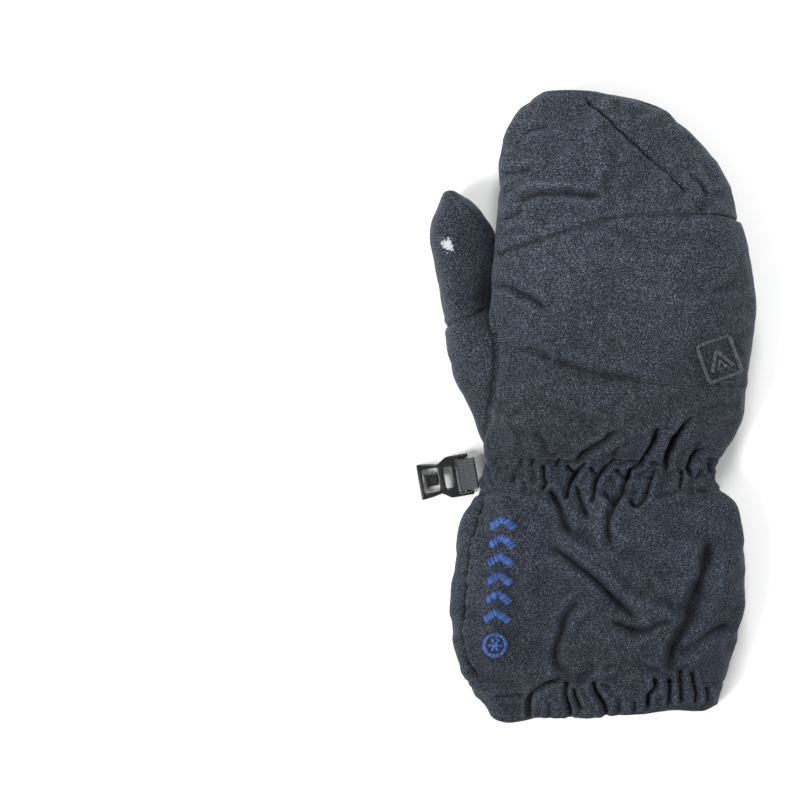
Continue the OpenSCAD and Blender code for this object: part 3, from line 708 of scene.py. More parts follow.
def ramp(nt, stops):
    n = nt.nodes.new("ShaderNodeValToRGB")
    el = n.color_ramp.elements
    while len(el) > len(stops):
        el.remove(el[-1])
    while len(el) < len(stops):
        el.new(0.5)
    for e, (p, c) in zip(el, stops):
        e.position = p
        e.color = c if len(c) == 4 else (*c, 1)
    return n


def shell_material(name, dark, light, speck=2600.0, bump=0.45, rough=0.86, sheen=0.22, worn=False, tone=None):
    m, nt, b = principled(name)
    L = nt.links.new
    tc = N_(nt, "ShaderNodeAttribute", attribute_name="home")
    # heather: light and dark yarn ends, in two sizes
    fine = N_(nt, "ShaderNodeTexNoise")
    fine.inputs["Scale"].default_value = speck
    fine.inputs["Detail"].default_value = 1.5
    fine.inputs["Roughness"].default_value = 0.6
    L(tc.outputs["Vector"], fine.inputs["Vector"])
    med = N_(nt, "ShaderNodeTexNoise")
    med.inputs["Scale"].default_value = speck * 0.5
    med.inputs["Detail"].default_value = 2.0
    L(tc.outputs["Vector"], med.inputs["Vector"])
    mixf = N_(nt, "ShaderNodeMix", data_type="FLOAT")
    mixf.inputs["Factor"].default_value = 0.30
    L(fine.outputs["Fac"], mixf.inputs["A"])
    L(med.outputs["Fac"], mixf.inputs["B"])
    mid = tuple(0.40 * a + 0.30 * c for a, c in zip(dark, light))
    r = ramp(nt, [(0.41, dark), (0.495, mid), (0.565, light), (0.655, tuple(min(1, 2.45 * c) for c in light))])
    L(mixf.outputs["Result"], r.inputs["Fac"])
    # broad slow change of tone, as in brushed softshell
    broad = N_(nt, "ShaderNodeTexNoise")
    broad.inputs["Scale"].default_value = 30.0
    broad.inputs["Detail"].default_value = 4.0
    L(tc.outputs["Vector"], broad.inputs["Vector"])
    rb = ramp(nt, [(0.3, (0.84, 0.87, 0.90)), (0.7, (1.10, 1.08, 1.06))])
    L(broad.outputs["Fac"], rb.inputs["Fac"])
    mul = N_(nt, "ShaderNodeMix", data_type="RGBA", blend_type="MULTIPLY")
    mul.inputs["Factor"].default_value = 1.0
    L(r.outputs["Color"], mul.inputs["A"])
    L(rb.outputs["Color"], mul.inputs["B"])
    # darker in the folds, paler on the ridges: painted shade and painted highlight, from the fold value
    at = N_(nt, "ShaderNodeAttribute", attribute_name="fold")
    rf = ramp(nt, [(0.05, (0.34, 0.35, 0.37)), (0.36, (0.84, 0.84, 0.85)), (0.52, (1.0, 1.0, 1.0)), (0.80, (1.42, 1.41, 1.38))])
    L(at.outputs["Fac"], rf.inputs["Fac"])
    mul2 = N_(nt, "ShaderNodeMix", data_type="RGBA", blend_type="MULTIPLY")
    mul2.inputs["Factor"].default_value = 1.0
    L(mul.outputs["Result"], mul2.inputs["A"])
    L(rf.outputs["Color"], mul2.inputs["B"])
    col = mul2.outputs["Result"]
    if tone:
        # painted shade: the colour is darkened along Y by the tone list, most towards the wrist and the hem
        sx = N_(nt, "ShaderNodeSeparateXYZ")
        L(tc.outputs["Vector"], sx.inputs[0])
        mr = N_(nt, "ShaderNodeMapRange")
        mr.inputs["From Min"].default_value = -0.12
        mr.inputs["From Max"].default_value = 0.12
        L(sx.outputs["Y"], mr.inputs["Value"])
        rt = nt.nodes.new("ShaderNodeValToRGB")
        el = rt.color_ramp.elements
        for i_, (y_, k_) in ((0, tone[0]), (1, tone[-1])):
            el[i_].position, el[i_].color = (y_ + 120) / 240, (k_, k_, k_, 1)
        for y_, k_ in tone[1:-1]:
            el.new((y_ + 120) / 240).color = (k_, k_, k_, 1)
        L(mr.outputs[0], rt.inputs["Fac"])
        mul3 = N_(nt, "ShaderNodeMix", data_type="RGBA", blend_type="MULTIPLY")
        mul3.inputs["Factor"].default_value = 1.0
        L(col, mul3.inputs["A"])
        L(rt.outputs["Color"], mul3.inputs["B"])
        col = mul3.outputs["Result"]
    if worn:
        # a scuffed pale spot on the thumb
        vm = N_(nt, "ShaderNodeVectorMath", operation="SUBTRACT")
        vm.inputs[1].default_value = (-0.0525, 0.0605, 0.0245)
        L(tc.outputs["Vector"], vm.inputs[0])
        ln = N_(nt, "ShaderNodeVectorMath", operation="LENGTH")
        L(vm.outputs["Vector"], ln.inputs[0])
        nz = N_(nt, "ShaderNodeTexNoise")
        nz.inputs["Scale"].default_value = 520.0
        nz.inputs["Detail"].default_value = 4.0
        nz.inputs["Roughness"].default_value = 0.7
        L(tc.outputs["Vector"], nz.inputs["Vector"])
        m1 = N_(nt, "ShaderNodeMath", operation="MULTIPLY_ADD")
        m1.inputs[1].default_value = -125.0
        m1.inputs[2].default_value = 0.36
        L(ln.outputs["Value"], m1.inputs[0])
        m2 = N_(nt, "ShaderNodeMath", operation="ADD")
        L(m1.outputs[0], m2.inputs[0])
        L(nz.outputs["Fac"], m2.inputs[1])
        rw = ramp(nt, [(0.52, (0, 0, 0)), (0.62, (1, 1, 1))])
        L(m2.outputs[0], rw.inputs["Fac"])
        mw = N_(nt, "ShaderNodeMix", data_type="RGBA")
        mw.inputs["B"].default_value = (0.42, 0.43, 0.45, 1)
        L(rw.outputs["Color"], mw.inputs["Factor"])
        L(col, mw.inputs["A"])
        col = mw.outputs["Result"]
    L(col, b.inputs["Base Color"])
    # weave: two crossed sets of yarn with noise
    map1 = N_(nt, "ShaderNodeMapping")
    map1.inputs["Rotation"].default_value = (0, 0, math.radians(45))
    L(tc.outputs["Vector"], map1.inputs["Vector"])
    w1 = N_(nt, "ShaderNodeTexWave", wave_type="BANDS", bands_direction="X")
    w2 = N_(nt, "ShaderNodeTexWave", wave_type="BANDS", bands_direction="Y")
    for w in (w1, w2):
        w.inputs["Scale"].default_value = 330.0
        w.inputs["Distortion"].default_value = 1.2
        w.inputs["Detail"].default_value = 1.0
        w.inputs["Detail Scale"].default_value = 2.0
        L(map1.outputs["Vector"], w.inputs["Vector"])
    mx = N_(nt, "ShaderNodeMath", operation="MAXIMUM")
    L(w1.outputs["Fac"], mx.inputs[0])
    L(w2.outputs["Fac"], mx.inputs[1])
    ad = N_(nt, "ShaderNodeMath", operation="ADD")
    L(mx.outputs[0], ad.inputs[0])
    L(fine.outputs["Fac"], ad.inputs[1])
    bp = N_(nt, "ShaderNodeBump")
    bp.inputs["Strength"].default_value = bump
    bp.inputs["Distance"].default_value = 0.0003
    L(ad.outputs[0], bp.inputs["Height"])
    # small random crumple
    cr = N_(nt, "ShaderNodeTexNoise")
    cr.inputs["Scale"].default_value = 190.0
    cr.inputs["Detail"].default_value = 4.0
    cr.inputs["Distortion"].default_value = 0.6
    L(tc.outputs["Vector"], cr.inputs["Vector"])
    bp2 = N_(nt, "ShaderNodeBump")
    bp2.inputs["Strength"].default_value = 0.5
    bp2.inputs["Distance"].default_value = 0.0008
    L(cr.outputs["Fac"], bp2.inputs["Height"])
    L(bp.outputs["Normal"], bp2.inputs["Normal"])
    L(bp2.outputs["Normal"], b.inputs["Normal"])
    b.inputs["Roughness"].default_value = rough
    b.inputs["Sheen Weight"].default_value = sheen
    b.inputs["Sheen Roughness"].default_value = 0.45
    b.inputs["Sheen Tint"].default_value = (0.62, 0.68, 0.78, 1)
    b.inputs["Specular IOR Level"].default_value = 0.25
    return m


def simple_material(name, c0, c1, scale, rough, bump=0.2, dist=0.0003, spec=0.4, sheen=0.0, detail=3.0):
    m, nt, b = principled(name)
    L = nt.links.new
    tc = N_(nt, "ShaderNodeTexCoord")
    n = N_(nt, "ShaderNodeTexNoise")
    n.inputs["Scale"].default_value = scale
    n.inputs["Detail"].default_value = detail
    L(tc.outputs["Object"], n.inputs["Vector"])
    r = ramp(nt, [(0.35, c0), (0.65, c1)])
    L(n.outputs["Fac"], r.inputs["Fac"])
    L(r.outputs["Color"], b.inputs["Base Color"])
    bp = N_(nt, "ShaderNodeBump")
    bp.inputs["Strength"].default_value = bump
    bp.inputs["Distance"].default_value = dist
    L(n.outputs["Fac"], bp.inputs["Height"])
    L(bp.outputs["Normal"], b.inputs["Normal"])
    b.inputs["Roughness"].default_value = rough
    b.inputs["Specular IOR Level"].default_value = spec
    b.inputs["Sheen Weight"].default_value = sheen
    b.inputs["Sheen Roughness"].default_value = 0.5
    return m


# the hand's fabric is darkened towards the wrist by its tone list: painted shade
M_SHELL = shell_material("shell_fabric", (0.0018, 0.003, 0.006), (0.040, 0.049, 0.066), sheen=0.14,
                         tone=[(-20, 0.56), (4, 0.70), (30, 0.86), (50, 0.96), (112, 0.94)])
M_THUMB = shell_material("thumb_fabric", (0.0018, 0.003, 0.006), (0.034, 0.042, 0.056), sheen=0.12, worn=True)
# the cuff's fabric is darkened towards the hem and the wrist by its tone list: painted shade
M_CUFF = shell_material("cuff_fabric", (0.0015, 0.0025, 0.005), (0.031, 0.039, 0.056), sheen=0.10,
                        tone=[(-118, 0.70), (-92, 0.68), (-66, 0.84), (-40, 0.90), (-32, 0.74), (-20, 0.66)])
M_GRIP = shell_material("grip_fabric", (0.010, 0.011, 0.013), (0.020, 0.021, 0.024), 1900, 0.6, 0.55, 0.04)
M_FLEECE = simple_material("fleece", (0.030, 0.032, 0.038), (0.085, 0.088, 0.098), 900, 0.95, 0.9, 0.0008, 0.1, 0.6)
M_WAD = simple_material("wadding", (0.70, 0.71, 0.73), (0.86, 0.87, 0.88), 260, 0.95, 0.8, 0.0012, 0.1)
M_ELASTIC = simple_material("elastic", (0.62, 0.62, 0.62), (0.82, 0.82, 0.81), 1200, 0.8, 0.6, 0.0003, 0.2)


def paint(o, m):
    o.data.materials.clear()
    o.data.materials.append(m)
    return o


# ---------------------------------------------------------------- outer panels
BACK = (0, NB)
FINGER = ("hand", "fingers", (0, 45 * MM, 0), (0, 76 * MM, 0))
WRIST = ("hand", "cuff", (0, -21 * MM, 0), (0, -36 * MM, 0))
THUMBB = ("hand", "thumb", (-46 * MM, 22 * MM, 0), (-53 * MM, 46 * MM, 0))


def own(o, mat, nodes, blend=None, body=None):
    paint(o, mat)
    # where each point lies at rest, so that the pattern stays on the cloth as it bends
    me = o.data
    co = np.empty(len(me.vertices) * 3, dtype=np.float32)
    me.vertices.foreach_get("co", co)
    home = me.attributes.get("home") or me.attributes.new("home", "FLOAT_VECTOR", "POINT")
    home.data.foreach_set("vector", co)
    if nodes:
        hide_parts(*nodes)
    if blend:
        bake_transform(o)
    else:
        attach(o, body)
    return o


def inside_thumb(p, m=1.2):
    """Is a point inside the thumb's tube by m?"""
    x, y, z = p[..., 0], p[..., 1], p[..., 2]
    xl, xr, z0, z1 = (tab(THUMB, y, k) for k in (1, 2, 3, 4))
    return (y > -16) & (y < 33) & (x > xl + m) & (x < xr - m) & (z > z0 + m) & (z < z1 - m - 2)


def inside_body(p, m=1.2):
    x, y, z = p[..., 0], p[..., 1], p[..., 2]
    xl, xr, z0, z1 = (tab(BODY, y, k) for k in (1, 2, 3, 4))
    X_ = (x - (xl + xr) / 2) / ((xr - xl) / 2 - m)
    c = np.clip(np.abs(X_), 0, 1) ** (1 / 0.84)
    s = np.sqrt(np.clip(1 - c * c, 0, 1))
    zm = z0 + 0.42 * (z1 - z0)
    return (np.abs(X_) < 1) & (z < zm + (z1 - zm - m) * s ** 0.86) & (z > zm - (zm - z0 - m) * np.minimum(1, 1.06 * s ** 0.72))


cell = (P[:-1, :] + P[1:, :] + np.roll(P, -1, 1)[:-1, :] + np.roll(P, -1, 1)[1:, :]) / 4
hole = inside_thumb(cell, 4.2)
mid_r, wr, hr, hd, kn, cf = (ROW[k] for k in ("cuff", "wrist", "heel", "hand", "tip", "hem"))
end = ROW["end"]


# the fold value: painted shade in the folds and painted highlight on the ridges; SHADES below darkens it further along
# the deep folds, also painted shade
FOLD = D - smooth_grid(D, 12)                        # how far a point stands above its surroundings
FOLD = 0.5 + 0.42 * FOLD
SHADES = [
    ([(47, -50), (45, -58), (43.2, -66), (41.2, -74), (38.6, -81), (35.2, -88), (32, -95), (30.6, -101)], 2.4, 0.42),
    ([(34, -95.5), (31, -99), (34, -102), (37, -99)], 3.0, 0.35),
    ([(-10, -98), (-7.5, -102), (-2, -102.5), (1, -99.5)], 2.6, 0.40),
    ([(-8, -57), (0, -63), (8, -70.5), (15, -77.5)], 1.9, 0.22),
    ([(14, -80), (22, -84), (30, -82)], 1.9, 0.22),
    ([(-12, -36), (-9, -42), (-8, -49)], 1.6, 0.22),
    ([(9.5, -38), (8.4, -46), (9.4, -52)], 1.6, 0.22),
    ([(26, -20), (28, -11)], 1.6, 0.22),
    ([(31, -21), (35, -10)], 1.8, 0.25),
    ([(-2, -20), (6, -13)], 1.8, 0.22),
    ([(4, -17), (14, -19), (22, -17.5)], 2.6, 0.26),
    ([(-24, 20.5), (-14, 16.5), (-4, 12.2), (8, 10), (19, 8.8)], 1.6, 0.20),
    ([(-30.4, 44.8), (-24, 41.6), (-15, 35.4)], 1.4, 0.16),
]
for pts, w_, k_ in SHADES:
    r_, s_, _l = poly_dist(X, Y, pts)
    e_ = np.clip(np.minimum(s_, 1 - s_) / 0.15, 0, 1)
    FOLD -= k_ * np.exp(-(r_ / w_) ** 2) * e_ * back
FOLD = np.clip(FOLD, 0, 1)


def panel(name, r0, r1, c0, c1, thick=0.7):
    G = block(P, r0, r1, c0, c1)
    cols = np.arange(c0, c1) % NC
    keep = ~hole[r0:r1][:, cols]
    return sheet_mesh(name, G, keep, thick, F=block(FOLD[..., None], r0, r1, c0, c1)[..., 0])


own(panel("shell_back_tip", kn, end, C_SLANT, NB), M_SHELL, ["back_tip_panel"], FINGER)
own(panel("shell_back_outer_tip", kn, end, 0, C_SLANT), M_SHELL, ["back_outer_tip_panel"], FINGER)
own(panel("shell_palm_finger", kn, end, NB, NC), M_SHELL, ["palm_finger_panel"], FINGER)
own(panel("shell_back_knuckle", hd, kn, 0, NB), M_SHELL, ["back_knuckle_panel"], FINGER)
own(panel("shell_palm", hr, kn, NB, NC), M_SHELL, ["palm_panel"], FINGER)
own(panel("shell_back_lower", hr, hd, 0, NB), M_SHELL, ["back_lower_panel"], None, "hand")
own(sheet_mesh("wrist_gathers", P[wr:hr + 1], None, 0.7, wrap=True, F=FOLD[wr:hr + 1]), M_CUFF, ["wrist_shirring"], WRIST)
own(panel("cuff_back", mid_r, wr, 0, C_STRIP), M_CUFF, ["cuff_back_panel"], WRIST)
own(panel("cuff_strip", mid_r, wr, C_STRIP, NB), M_CUFF, ["cuff_side_strip"], WRIST)
own(panel("cuff_palm", mid_r, wr, NB, NC), M_CUFF, ["cuff_palm_panel"], WRIST)

# the closed tip of the fingers
last = P[end]
ctr = last.mean(0)
cap = [last]
for s, dy in ((0.86, 0.22), (0.66, 0.42), (0.42, 0.56), (0.2, 0.62), (0.02, 0.64)):
    q = ctr + (last - ctr) * s
    q[:, 1] = last[:, 1].mean() + dy + (last[:, 1] - last[:, 1].mean()) * s
    cap.append(q)
cap = np.array(cap)
o = sheet_mesh("shell_tip_end", cap, None, 0.7, wrap=True, F=np.full(cap.shape[:2], 0.5))
own(o, M_SHELL, [], None, "fingers")

# the hem folds in at the mouth and goes back up inside
DEP = 3.0
hemN = smooth_grid(N0, 4)
outer = P[cf:mid_r + 1]
inner = (P0 + NI * (SINK[..., None] - 2.7))[cf:mid_r + 1]
lip = []
edge = P[cf]
ein = inner[0]
for k in range(1, 6):
    t = k / 6 * math.pi
    midp = (edge + ein) / 2
    lip.append(midp + (edge - ein) / 2 * math.cos(t) + np.array([0, -1.3, 0]) * math.sin(t))
G = np.concatenate([outer[::-1], np.array(lip), inner], 0)
# the turned-in lip and inside of the mouth get a low fold value, 0.3: painted shade there
o = sheet_mesh("hem_fold", G, None, 0.6, wrap=True, flip=True,
               F=np.concatenate([FOLD[cf:mid_r + 1][::-1], np.full((len(G) - (mid_r + 1 - cf), NC), 0.3)], 0))
own(o, M_CUFF, ["hem_casing"], None, "cuff")

# ---------------------------------------------------------------- lining, wadding, elastic inside
def inner_layer(name, r0, r1, d0, d1, mat, nodes, blend=None, body=None, wrap=True, c0=0, c1=NC):
    rr = np.unique(np.append(np.arange(r0, r1, 2), r1))
    A = PI_[rr] - NI[rr] * (d0 - 0.9)
    H = hole[np.minimum(rr[:-1], NR - 2)]
    if wrap:
        A, H = A[:, ::2], H[:, ::2]
        o = sheet_mesh(name, A, ~H, d1 - d0, wrap=True)
    else:
        cols = np.unique(np.append(np.arange(c0, c1, 2), c1)) % NC
        A, H = A[:, cols], H[:, cols[:-1]]
        o = sheet_mesh(name, A, ~H, d1 - d0)
    return own(o, mat, nodes, blend, body)


tip_in = end - 12
inner_layer("wadding_finger_back", kn, tip_in, 2.6, 4.9, M_WAD, ["finger_back_wadding"], FINGER, None, False, 0, NB)
inner_layer("wadding_finger_palm", kn, tip_in, 2.6, 4.9, M_WAD, ["finger_palm_wadding"], FINGER, None, False, NB, NC)
inner_layer("wadding_back", hr, kn, 2.8, 5.0, M_WAD, ["back_wadding"], FINGER, None, False, 0, NB)
inner_layer("wadding_palm", hr, kn, 2.6, 4.9, M_WAD, ["palm_wadding"], FINGER, None, False, NB, NC)
inner_layer("lining_fingers", kn, tip_in, 5.2, 6.2, M_FLEECE, ["finger_liner"], FINGER)
inner_layer("lining_hand", hr, kn, 5.2, 6.2, M_FLEECE, ["hand_liner"], FINGER)
inner_layer("lining_wrist", wr, hr, 4.4, 5.3, M_FLEECE, ["wrist_liner"], WRIST)
inner_layer("lining_cuff", mid_r - 2, wr, 4.2, 5.2, M_FLEECE, ["cuff_liner"], WRIST)
inner_layer("elastic_hem", cf + 3, mid_r - 3, 1.9, 2.4, M_ELASTIC, ["hem_elastic"], None, "cuff")
parts = []
for k in (-1, 0, 1):
    yy = -26.4 + 4.6 * k
    rr = [r for r in range(wr, hr + 1) if abs(P0[r, 0, 1] - yy) < 1.1]
    A = PI_[rr][:, ::2] - NI[rr][:, ::2] * 3.4
    parts.append(sheet_mesh("tape%d" % k, A, None, 0.6, wrap=True))
bm = bmesh.new()
for q in parts:
    bm.from_mesh(q.data)
me = bpy.data.meshes.new("elastic_wrist")
bm.to_mesh(me)
bm.free()
for q in parts:
    bpy.data.objects.remove(q)
o = link(bpy.data.objects.new("elastic_wrist", me))
own(finish_mesh(o), M_ELASTIC, ["wrist_elastic_tapes"], WRIST)

# ---------------------------------------------------------------- thumb
TB, TP, TR = 62, 54, 116
tang = np.concatenate([even_angles(TB, 0)[:-1], math.pi + even_angles(TP, 1)[:-1]])
ty = np.concatenate([np.linspace(-17, 60, 82)[:-1], 60 + 20.4 * (1 - (1 - np.linspace(0, 1, 36)) ** 1.25)])
SEAM_T = lambda x: 29.8 + (x + 52.8) * 0.44
TG = np.zeros((len(ty), TB + TP, 3))
split = int(np.argmin(np.abs(ty - 30.0)))
for r, y0 in enumerate(ty):
    y = np.full(TB + TP, y0)
    for _ in range(4):
        x, z = ring(THUMB, y, tang)
        k = np.exp(-((y0 - ty[split]) / 12.0) ** 2)
        y = y0 + k * (SEAM_T(np.clip(x, -54, -36)) - ty[split])
    x, z = ring(THUMB, y, tang)
    xl, xr, z0, z1 = (tab(THUMB, y, k) for k in (1, 2, 3, 4))
    u = np.clip((x - xl) / (xr - xl), 0, 1)
    g_ = np.clip((y - 26) / 10, 0, 1) * np.clip((74 - y) / 8, 0, 1)
    z = z0 + (z - z0) * (1 - 0.42 * g_ * (u * u * (3 - 2 * u)))  # slopes down under the hand's edge
    TG[r] = np.stack([x, y, z], 1)
TN = normals(smooth_grid(TG, 2))
tx, tyy = TG[..., 0], TG[..., 1]
TD = Waves(31, 30)(TG) * 0.35 + Waves(32, 12)(TG) * 0.18
tb = np.clip(0.5 + 6 * np.sin(tang), 0, 1)[None, :]
fold = crease(tx, tyy, [(-56, 28.6), (-52.8, 29.8), (-46, 32.4), (-38, 36.4)], 0.8, 0.8, 0.4, 0.3, 0.02)
fold += crease(tx, tyy, [(-54, 41), (-50, 43), (-46, 42)], 1.4, 0.6, 0.3, 0.3)
fold += crease(tx, tyy, [(-51, 18), (-46, 14), (-42, 6)], 1.8, 0.7, 0.3, 0.3)
fold += crease(tx, tyy, [(-50, 78), (-49, 73), (-44, 67)], 1.6, 0.5, 0.3, 0.3)
TD += fold * (0.4 + 0.6 * tb)
for c0 in (0, TB):
    cc = np.minimum(np.abs(np.arange(TB + TP) - c0), TB + TP - np.abs(np.arange(TB + TP) - c0)).astype(float)
    TD -= 0.5 * np.exp(-(cc / 1.2) ** 2)[None, :]
tg = TG[..., 2] - top_of(BODY, tx, tyy)
TD -= 1.3 * np.exp(-(tg / 1.3) ** 2) * np.clip((tyy + 14) / 8, 0, 1) * np.clip((37 - tyy) / 3, 0, 1)
TD *= np.clip((81.5 - tyy) / 4, 0.2, 1)
# the thumb's fold value: painted shade in its folds and painted highlight on its ridges
TFOLD = np.clip(0.5 + 0.42 * (TD - smooth_grid(TD, 12)), 0, 1)
# painted shade on the thumb beside the hand's overhanging edge, lowering its fold value there
edge_x = tab(BODY, tyy, 1)
TFOLD = TFOLD - 0.42 * np.exp(-(np.clip(edge_x - tx, 0, 99) / 4.5) ** 2) * np.clip((tyy - 30) / 8, 0, 1) * np.clip((72 - tyy) / 10, 0, 1)
TFOLD = np.clip(TFOLD, 0, 1)
TPs = TG + TN * TD[..., None]
TPs[..., 2] = np.maximum(TPs[..., 2], 0.12)
tcell = (TPs[:-1] + TPs[1:] + np.roll(TPs, -1, 1)[:-1] + np.roll(TPs, -1, 1)[1:]) / 4
thole = inside_body(tcell, 4.6)
TC = TB + TP


def tpanel(name, r0, r1, c0, c1, wrap=False):
    cols = np.arange(c0, c1 if wrap else c1 + 1) % TC
    kc = np.arange(c0, c1) % TC
    return sheet_mesh(name, TPs[r0:r1 + 1][:, cols], ~thole[r0:r1][:, kc], 0.7, wrap, F=TFOLD[r0:r1 + 1][:, cols])


te = len(ty) - 1
own(tpanel("thumb_root", 0, split, 0, TC, True), M_SHELL, ["thumb_gusset"], THUMBB)
own(tpanel("thumb_back", split, te, 0, TB), M_THUMB, ["thumb_back_panel"], THUMBB)
own(tpanel("thumb_palm", split, te, TB, TC), M_GRIP, ["thumb_palm_panel"], THUMBB)
last = TPs[te]
ctr = last.mean(0)
cap = [last]
for s, dy in ((0.85, 0.3), (0.62, 0.55), (0.38, 0.72), (0.16, 0.8), (0.02, 0.82)):
    q = ctr + (last - ctr) * s
    q[:, 1] = last[:, 1].mean() + dy
    cap.append(q)
own(sheet_mesh("thumb_tip_end", np.array(cap), None, 0.6, wrap=True, F=np.full((len(cap), TC), 0.5)), M_SHELL, [], None, "thumb")
TI = smooth_grid(TG, 4)
TNI = normals(smooth_grid(TG, 8))
rr = np.arange(split + 2, te - 9, 2)
A = (TI - TNI * 1.9)[rr][:, ::2]
own(sheet_mesh("wadding_thumb", A, None, 1.2, wrap=True), M_WAD, ["thumb_wadding"], THUMBB)
A = (TI - TNI * 3.4)[rr][:, ::2]
own(sheet_mesh("lining_thumb", A, None, 0.8, wrap=True), M_FLEECE, ["thumb_liner"], THUMBB)

# ---------------------------------------------------------------- projection on the fabric
def bvh_of(G, wrap=True):
    R, C = G.shape[:2]
    idx = np.arange(R * C).reshape(R, C)
    c2 = np.roll(idx, -1, 1)
    q = np.stack([idx[:-1], c2[:-1], c2[1:], idx[1:]], -1).reshape(-1, 4)
    return BVHTree.FromPolygons([tuple(v) for v in G.reshape(-1, 3).tolist()], [tuple(v) for v in q.tolist()])


SKIN = bvh_of(P)


def drop(x, y, down=True):
    """Point and normal where a line straight down (or up from below) meets the fabric, in mm."""
    hit = SKIN.ray_cast(Vector((x, y, 80.0 if down else -20.0)), Vector((0, 0, -1 if down else 1)))
    if hit[0] is None:
        return Vector((x, y, 10.0)), Vector((0, 0, 1))
    n = hit[1].copy()
    if (n.z < 0) == down:
        n = -n
    return hit[0], n


def tubes(name, lines, radius, flat=1.0, sides=6):
    """Thin threads through lists of points (mm), each with its own up direction, as one mesh."""
    V, F = [], []
    for pts, ups in lines:
        n = len(pts)
        base = len(V)
        for i in range(n):
            t = (pts[min(i + 1, n - 1)] - pts[max(i - 1, 0)]).normalized()
            u = ups[i]
            sdir = t.cross(u).normalized()
            u2 = sdir.cross(t).normalized()
            rr_ = radius * (0.55 if i in (0, n - 1) else 1.0)
            for k in range(sides):
                a = 2 * math.pi * k / sides
                V.append((pts[i] + sdir * (rr_ * math.cos(a)) + u2 * (rr_ * flat * math.sin(a))) * MM)
        for i in range(n - 1):
            for k in range(sides):
                a_, b_ = base + i * sides + k, base + i * sides + (k + 1) % sides
                F.append((a_, b_, b_ + sides, a_ + sides))
        F.append(tuple(base + k for k in range(sides))[::-1])
        F.append(tuple(base + (n - 1) * sides + k for k in range(sides)))
    me = bpy.data.meshes.new(name)
    me.from_pydata([tuple(v) for v in V], [], F)
    o = link(bpy.data.objects.new(name, me))
    return fix_out(o)


rng = np.random.default_rng(77)


def satin(path, width, pitch=0.40, rise=0.42, closed=False, slant=0.25, base=0.05):
    """Satin stitches laid side by side across a stroke that follows path."""
    pts = [np.array(p, float) for p in path]
    if closed:
        pts.append(pts[0])
    seg = [np.linalg.norm(b - a) for a, b in zip(pts, pts[1:])]
    cum = np.concatenate([[0], np.cumsum(seg)])
    n = max(2, int(cum[-1] / pitch))
    out = []
    for i in range(n + (0 if closed else 1)):
        s_ = cum[-1] * i / n
        k = min(int(np.searchsorted(cum, s_, side="right")) - 1, len(seg) - 1)
        f = (s_ - cum[k]) / seg[k]
        p = pts[k] + (pts[k + 1] - pts[k]) * f
        # direction eased round the corners
        d = np.zeros(2)
        for ds in (-0.5, 0, 0.5):
            q_ = min(max(s_ + ds, 0), cum[-1] - 1e-6)
            kk = min(int(np.searchsorted(cum, q_, side="right")) - 1, len(seg) - 1)
            d += (pts[kk + 1] - pts[kk]) / seg[kk]
        d /= np.linalg.norm(d) + 1e-9
        nrm = np.array([-d[1], d[0]]) + d * slant
        w_ = width * (1 + 0.05 * rng.normal())
        row, ups = [], []
        for u in (-0.5, -0.28, 0.0, 0.28, 0.5):
            q_ = p + nrm * (w_ * u)
            h, nn = drop(q_[0], q_[1])
            row.append(h + nn * (base + rise * (1 - (2 * abs(u)) ** 2.2)))
            ups.append(nn)
        out.append((row, ups))
    return out


def thread_material(name, c0, c1, rough=0.42, spec=0.5, sheen=0.3):
    m, nt, b = principled(name)
    L = nt.links.new
    tc = N_(nt, "ShaderNodeTexCoord")
    n = N_(nt, "ShaderNodeTexNoise")
    n.inputs["Scale"].default_value = 1400.0
    n.inputs["Detail"].default_value = 2.0
    L(tc.outputs["Object"], n.inputs["Vector"])
    g_ = N_(nt, "ShaderNodeNewGeometry")
    r = ramp(nt, [(0.30, c0), (0.72, c1)])
    mx = N_(nt, "ShaderNodeMix", data_type="FLOAT")
    mx.inputs["Factor"].default_value = 0.45
    L(n.outputs["Fac"], mx.inputs["A"])
    L(g_.outputs["Random Per Island"], mx.inputs["B"])
    L(mx.outputs["Result"], r.inputs["Fac"])
    L(r.outputs["Color"], b.inputs["Base Color"])
    w_ = N_(nt, "ShaderNodeTexWave", wave_type="BANDS", bands_direction="DIAGONAL")
    w_.inputs["Scale"].default_value = 1300.0
    L(tc.outputs["Object"], w_.inputs["Vector"])
    bp = N_(nt, "ShaderNodeBump")
    bp.inputs["Strength"].default_value = 0.35
    bp.inputs["Distance"].default_value = 0.0001
    L(w_.outputs["Fac"], bp.inputs["Height"])
    L(bp.outputs["Normal"], b.inputs["Normal"])
    b.inputs["Roughness"].default_value = rough
    b.inputs["Specular IOR Level"].default_value = spec
    b.inputs["Sheen Weight"].default_value = sheen
    return m


M_BLUE = thread_material("blue_thread", (0.005, 0.020, 0.090), (0.036, 0.098, 0.30), 0.5, 0.35, 0.06)
M_TONE = thread_material("tone_thread", (0.013, 0.016, 0.023), (0.060, 0.069, 0.086), 0.5, 0.4, 0.12)
M_SEW = thread_material("sewing_thread", (0.008, 0.010, 0.014), (0.036, 0.041, 0.051), 0.6, 0.25, 0.1)

# ---------------------------------------------------------------- embroidery on the cuff
def turn(pts, at, deg):
    c, s_ = math.cos(math.radians(deg)), math.sin(math.radians(deg))
    return [(at[0] + x * c - y * s_, at[1] + x * s_ + y * c) for x, y in pts]


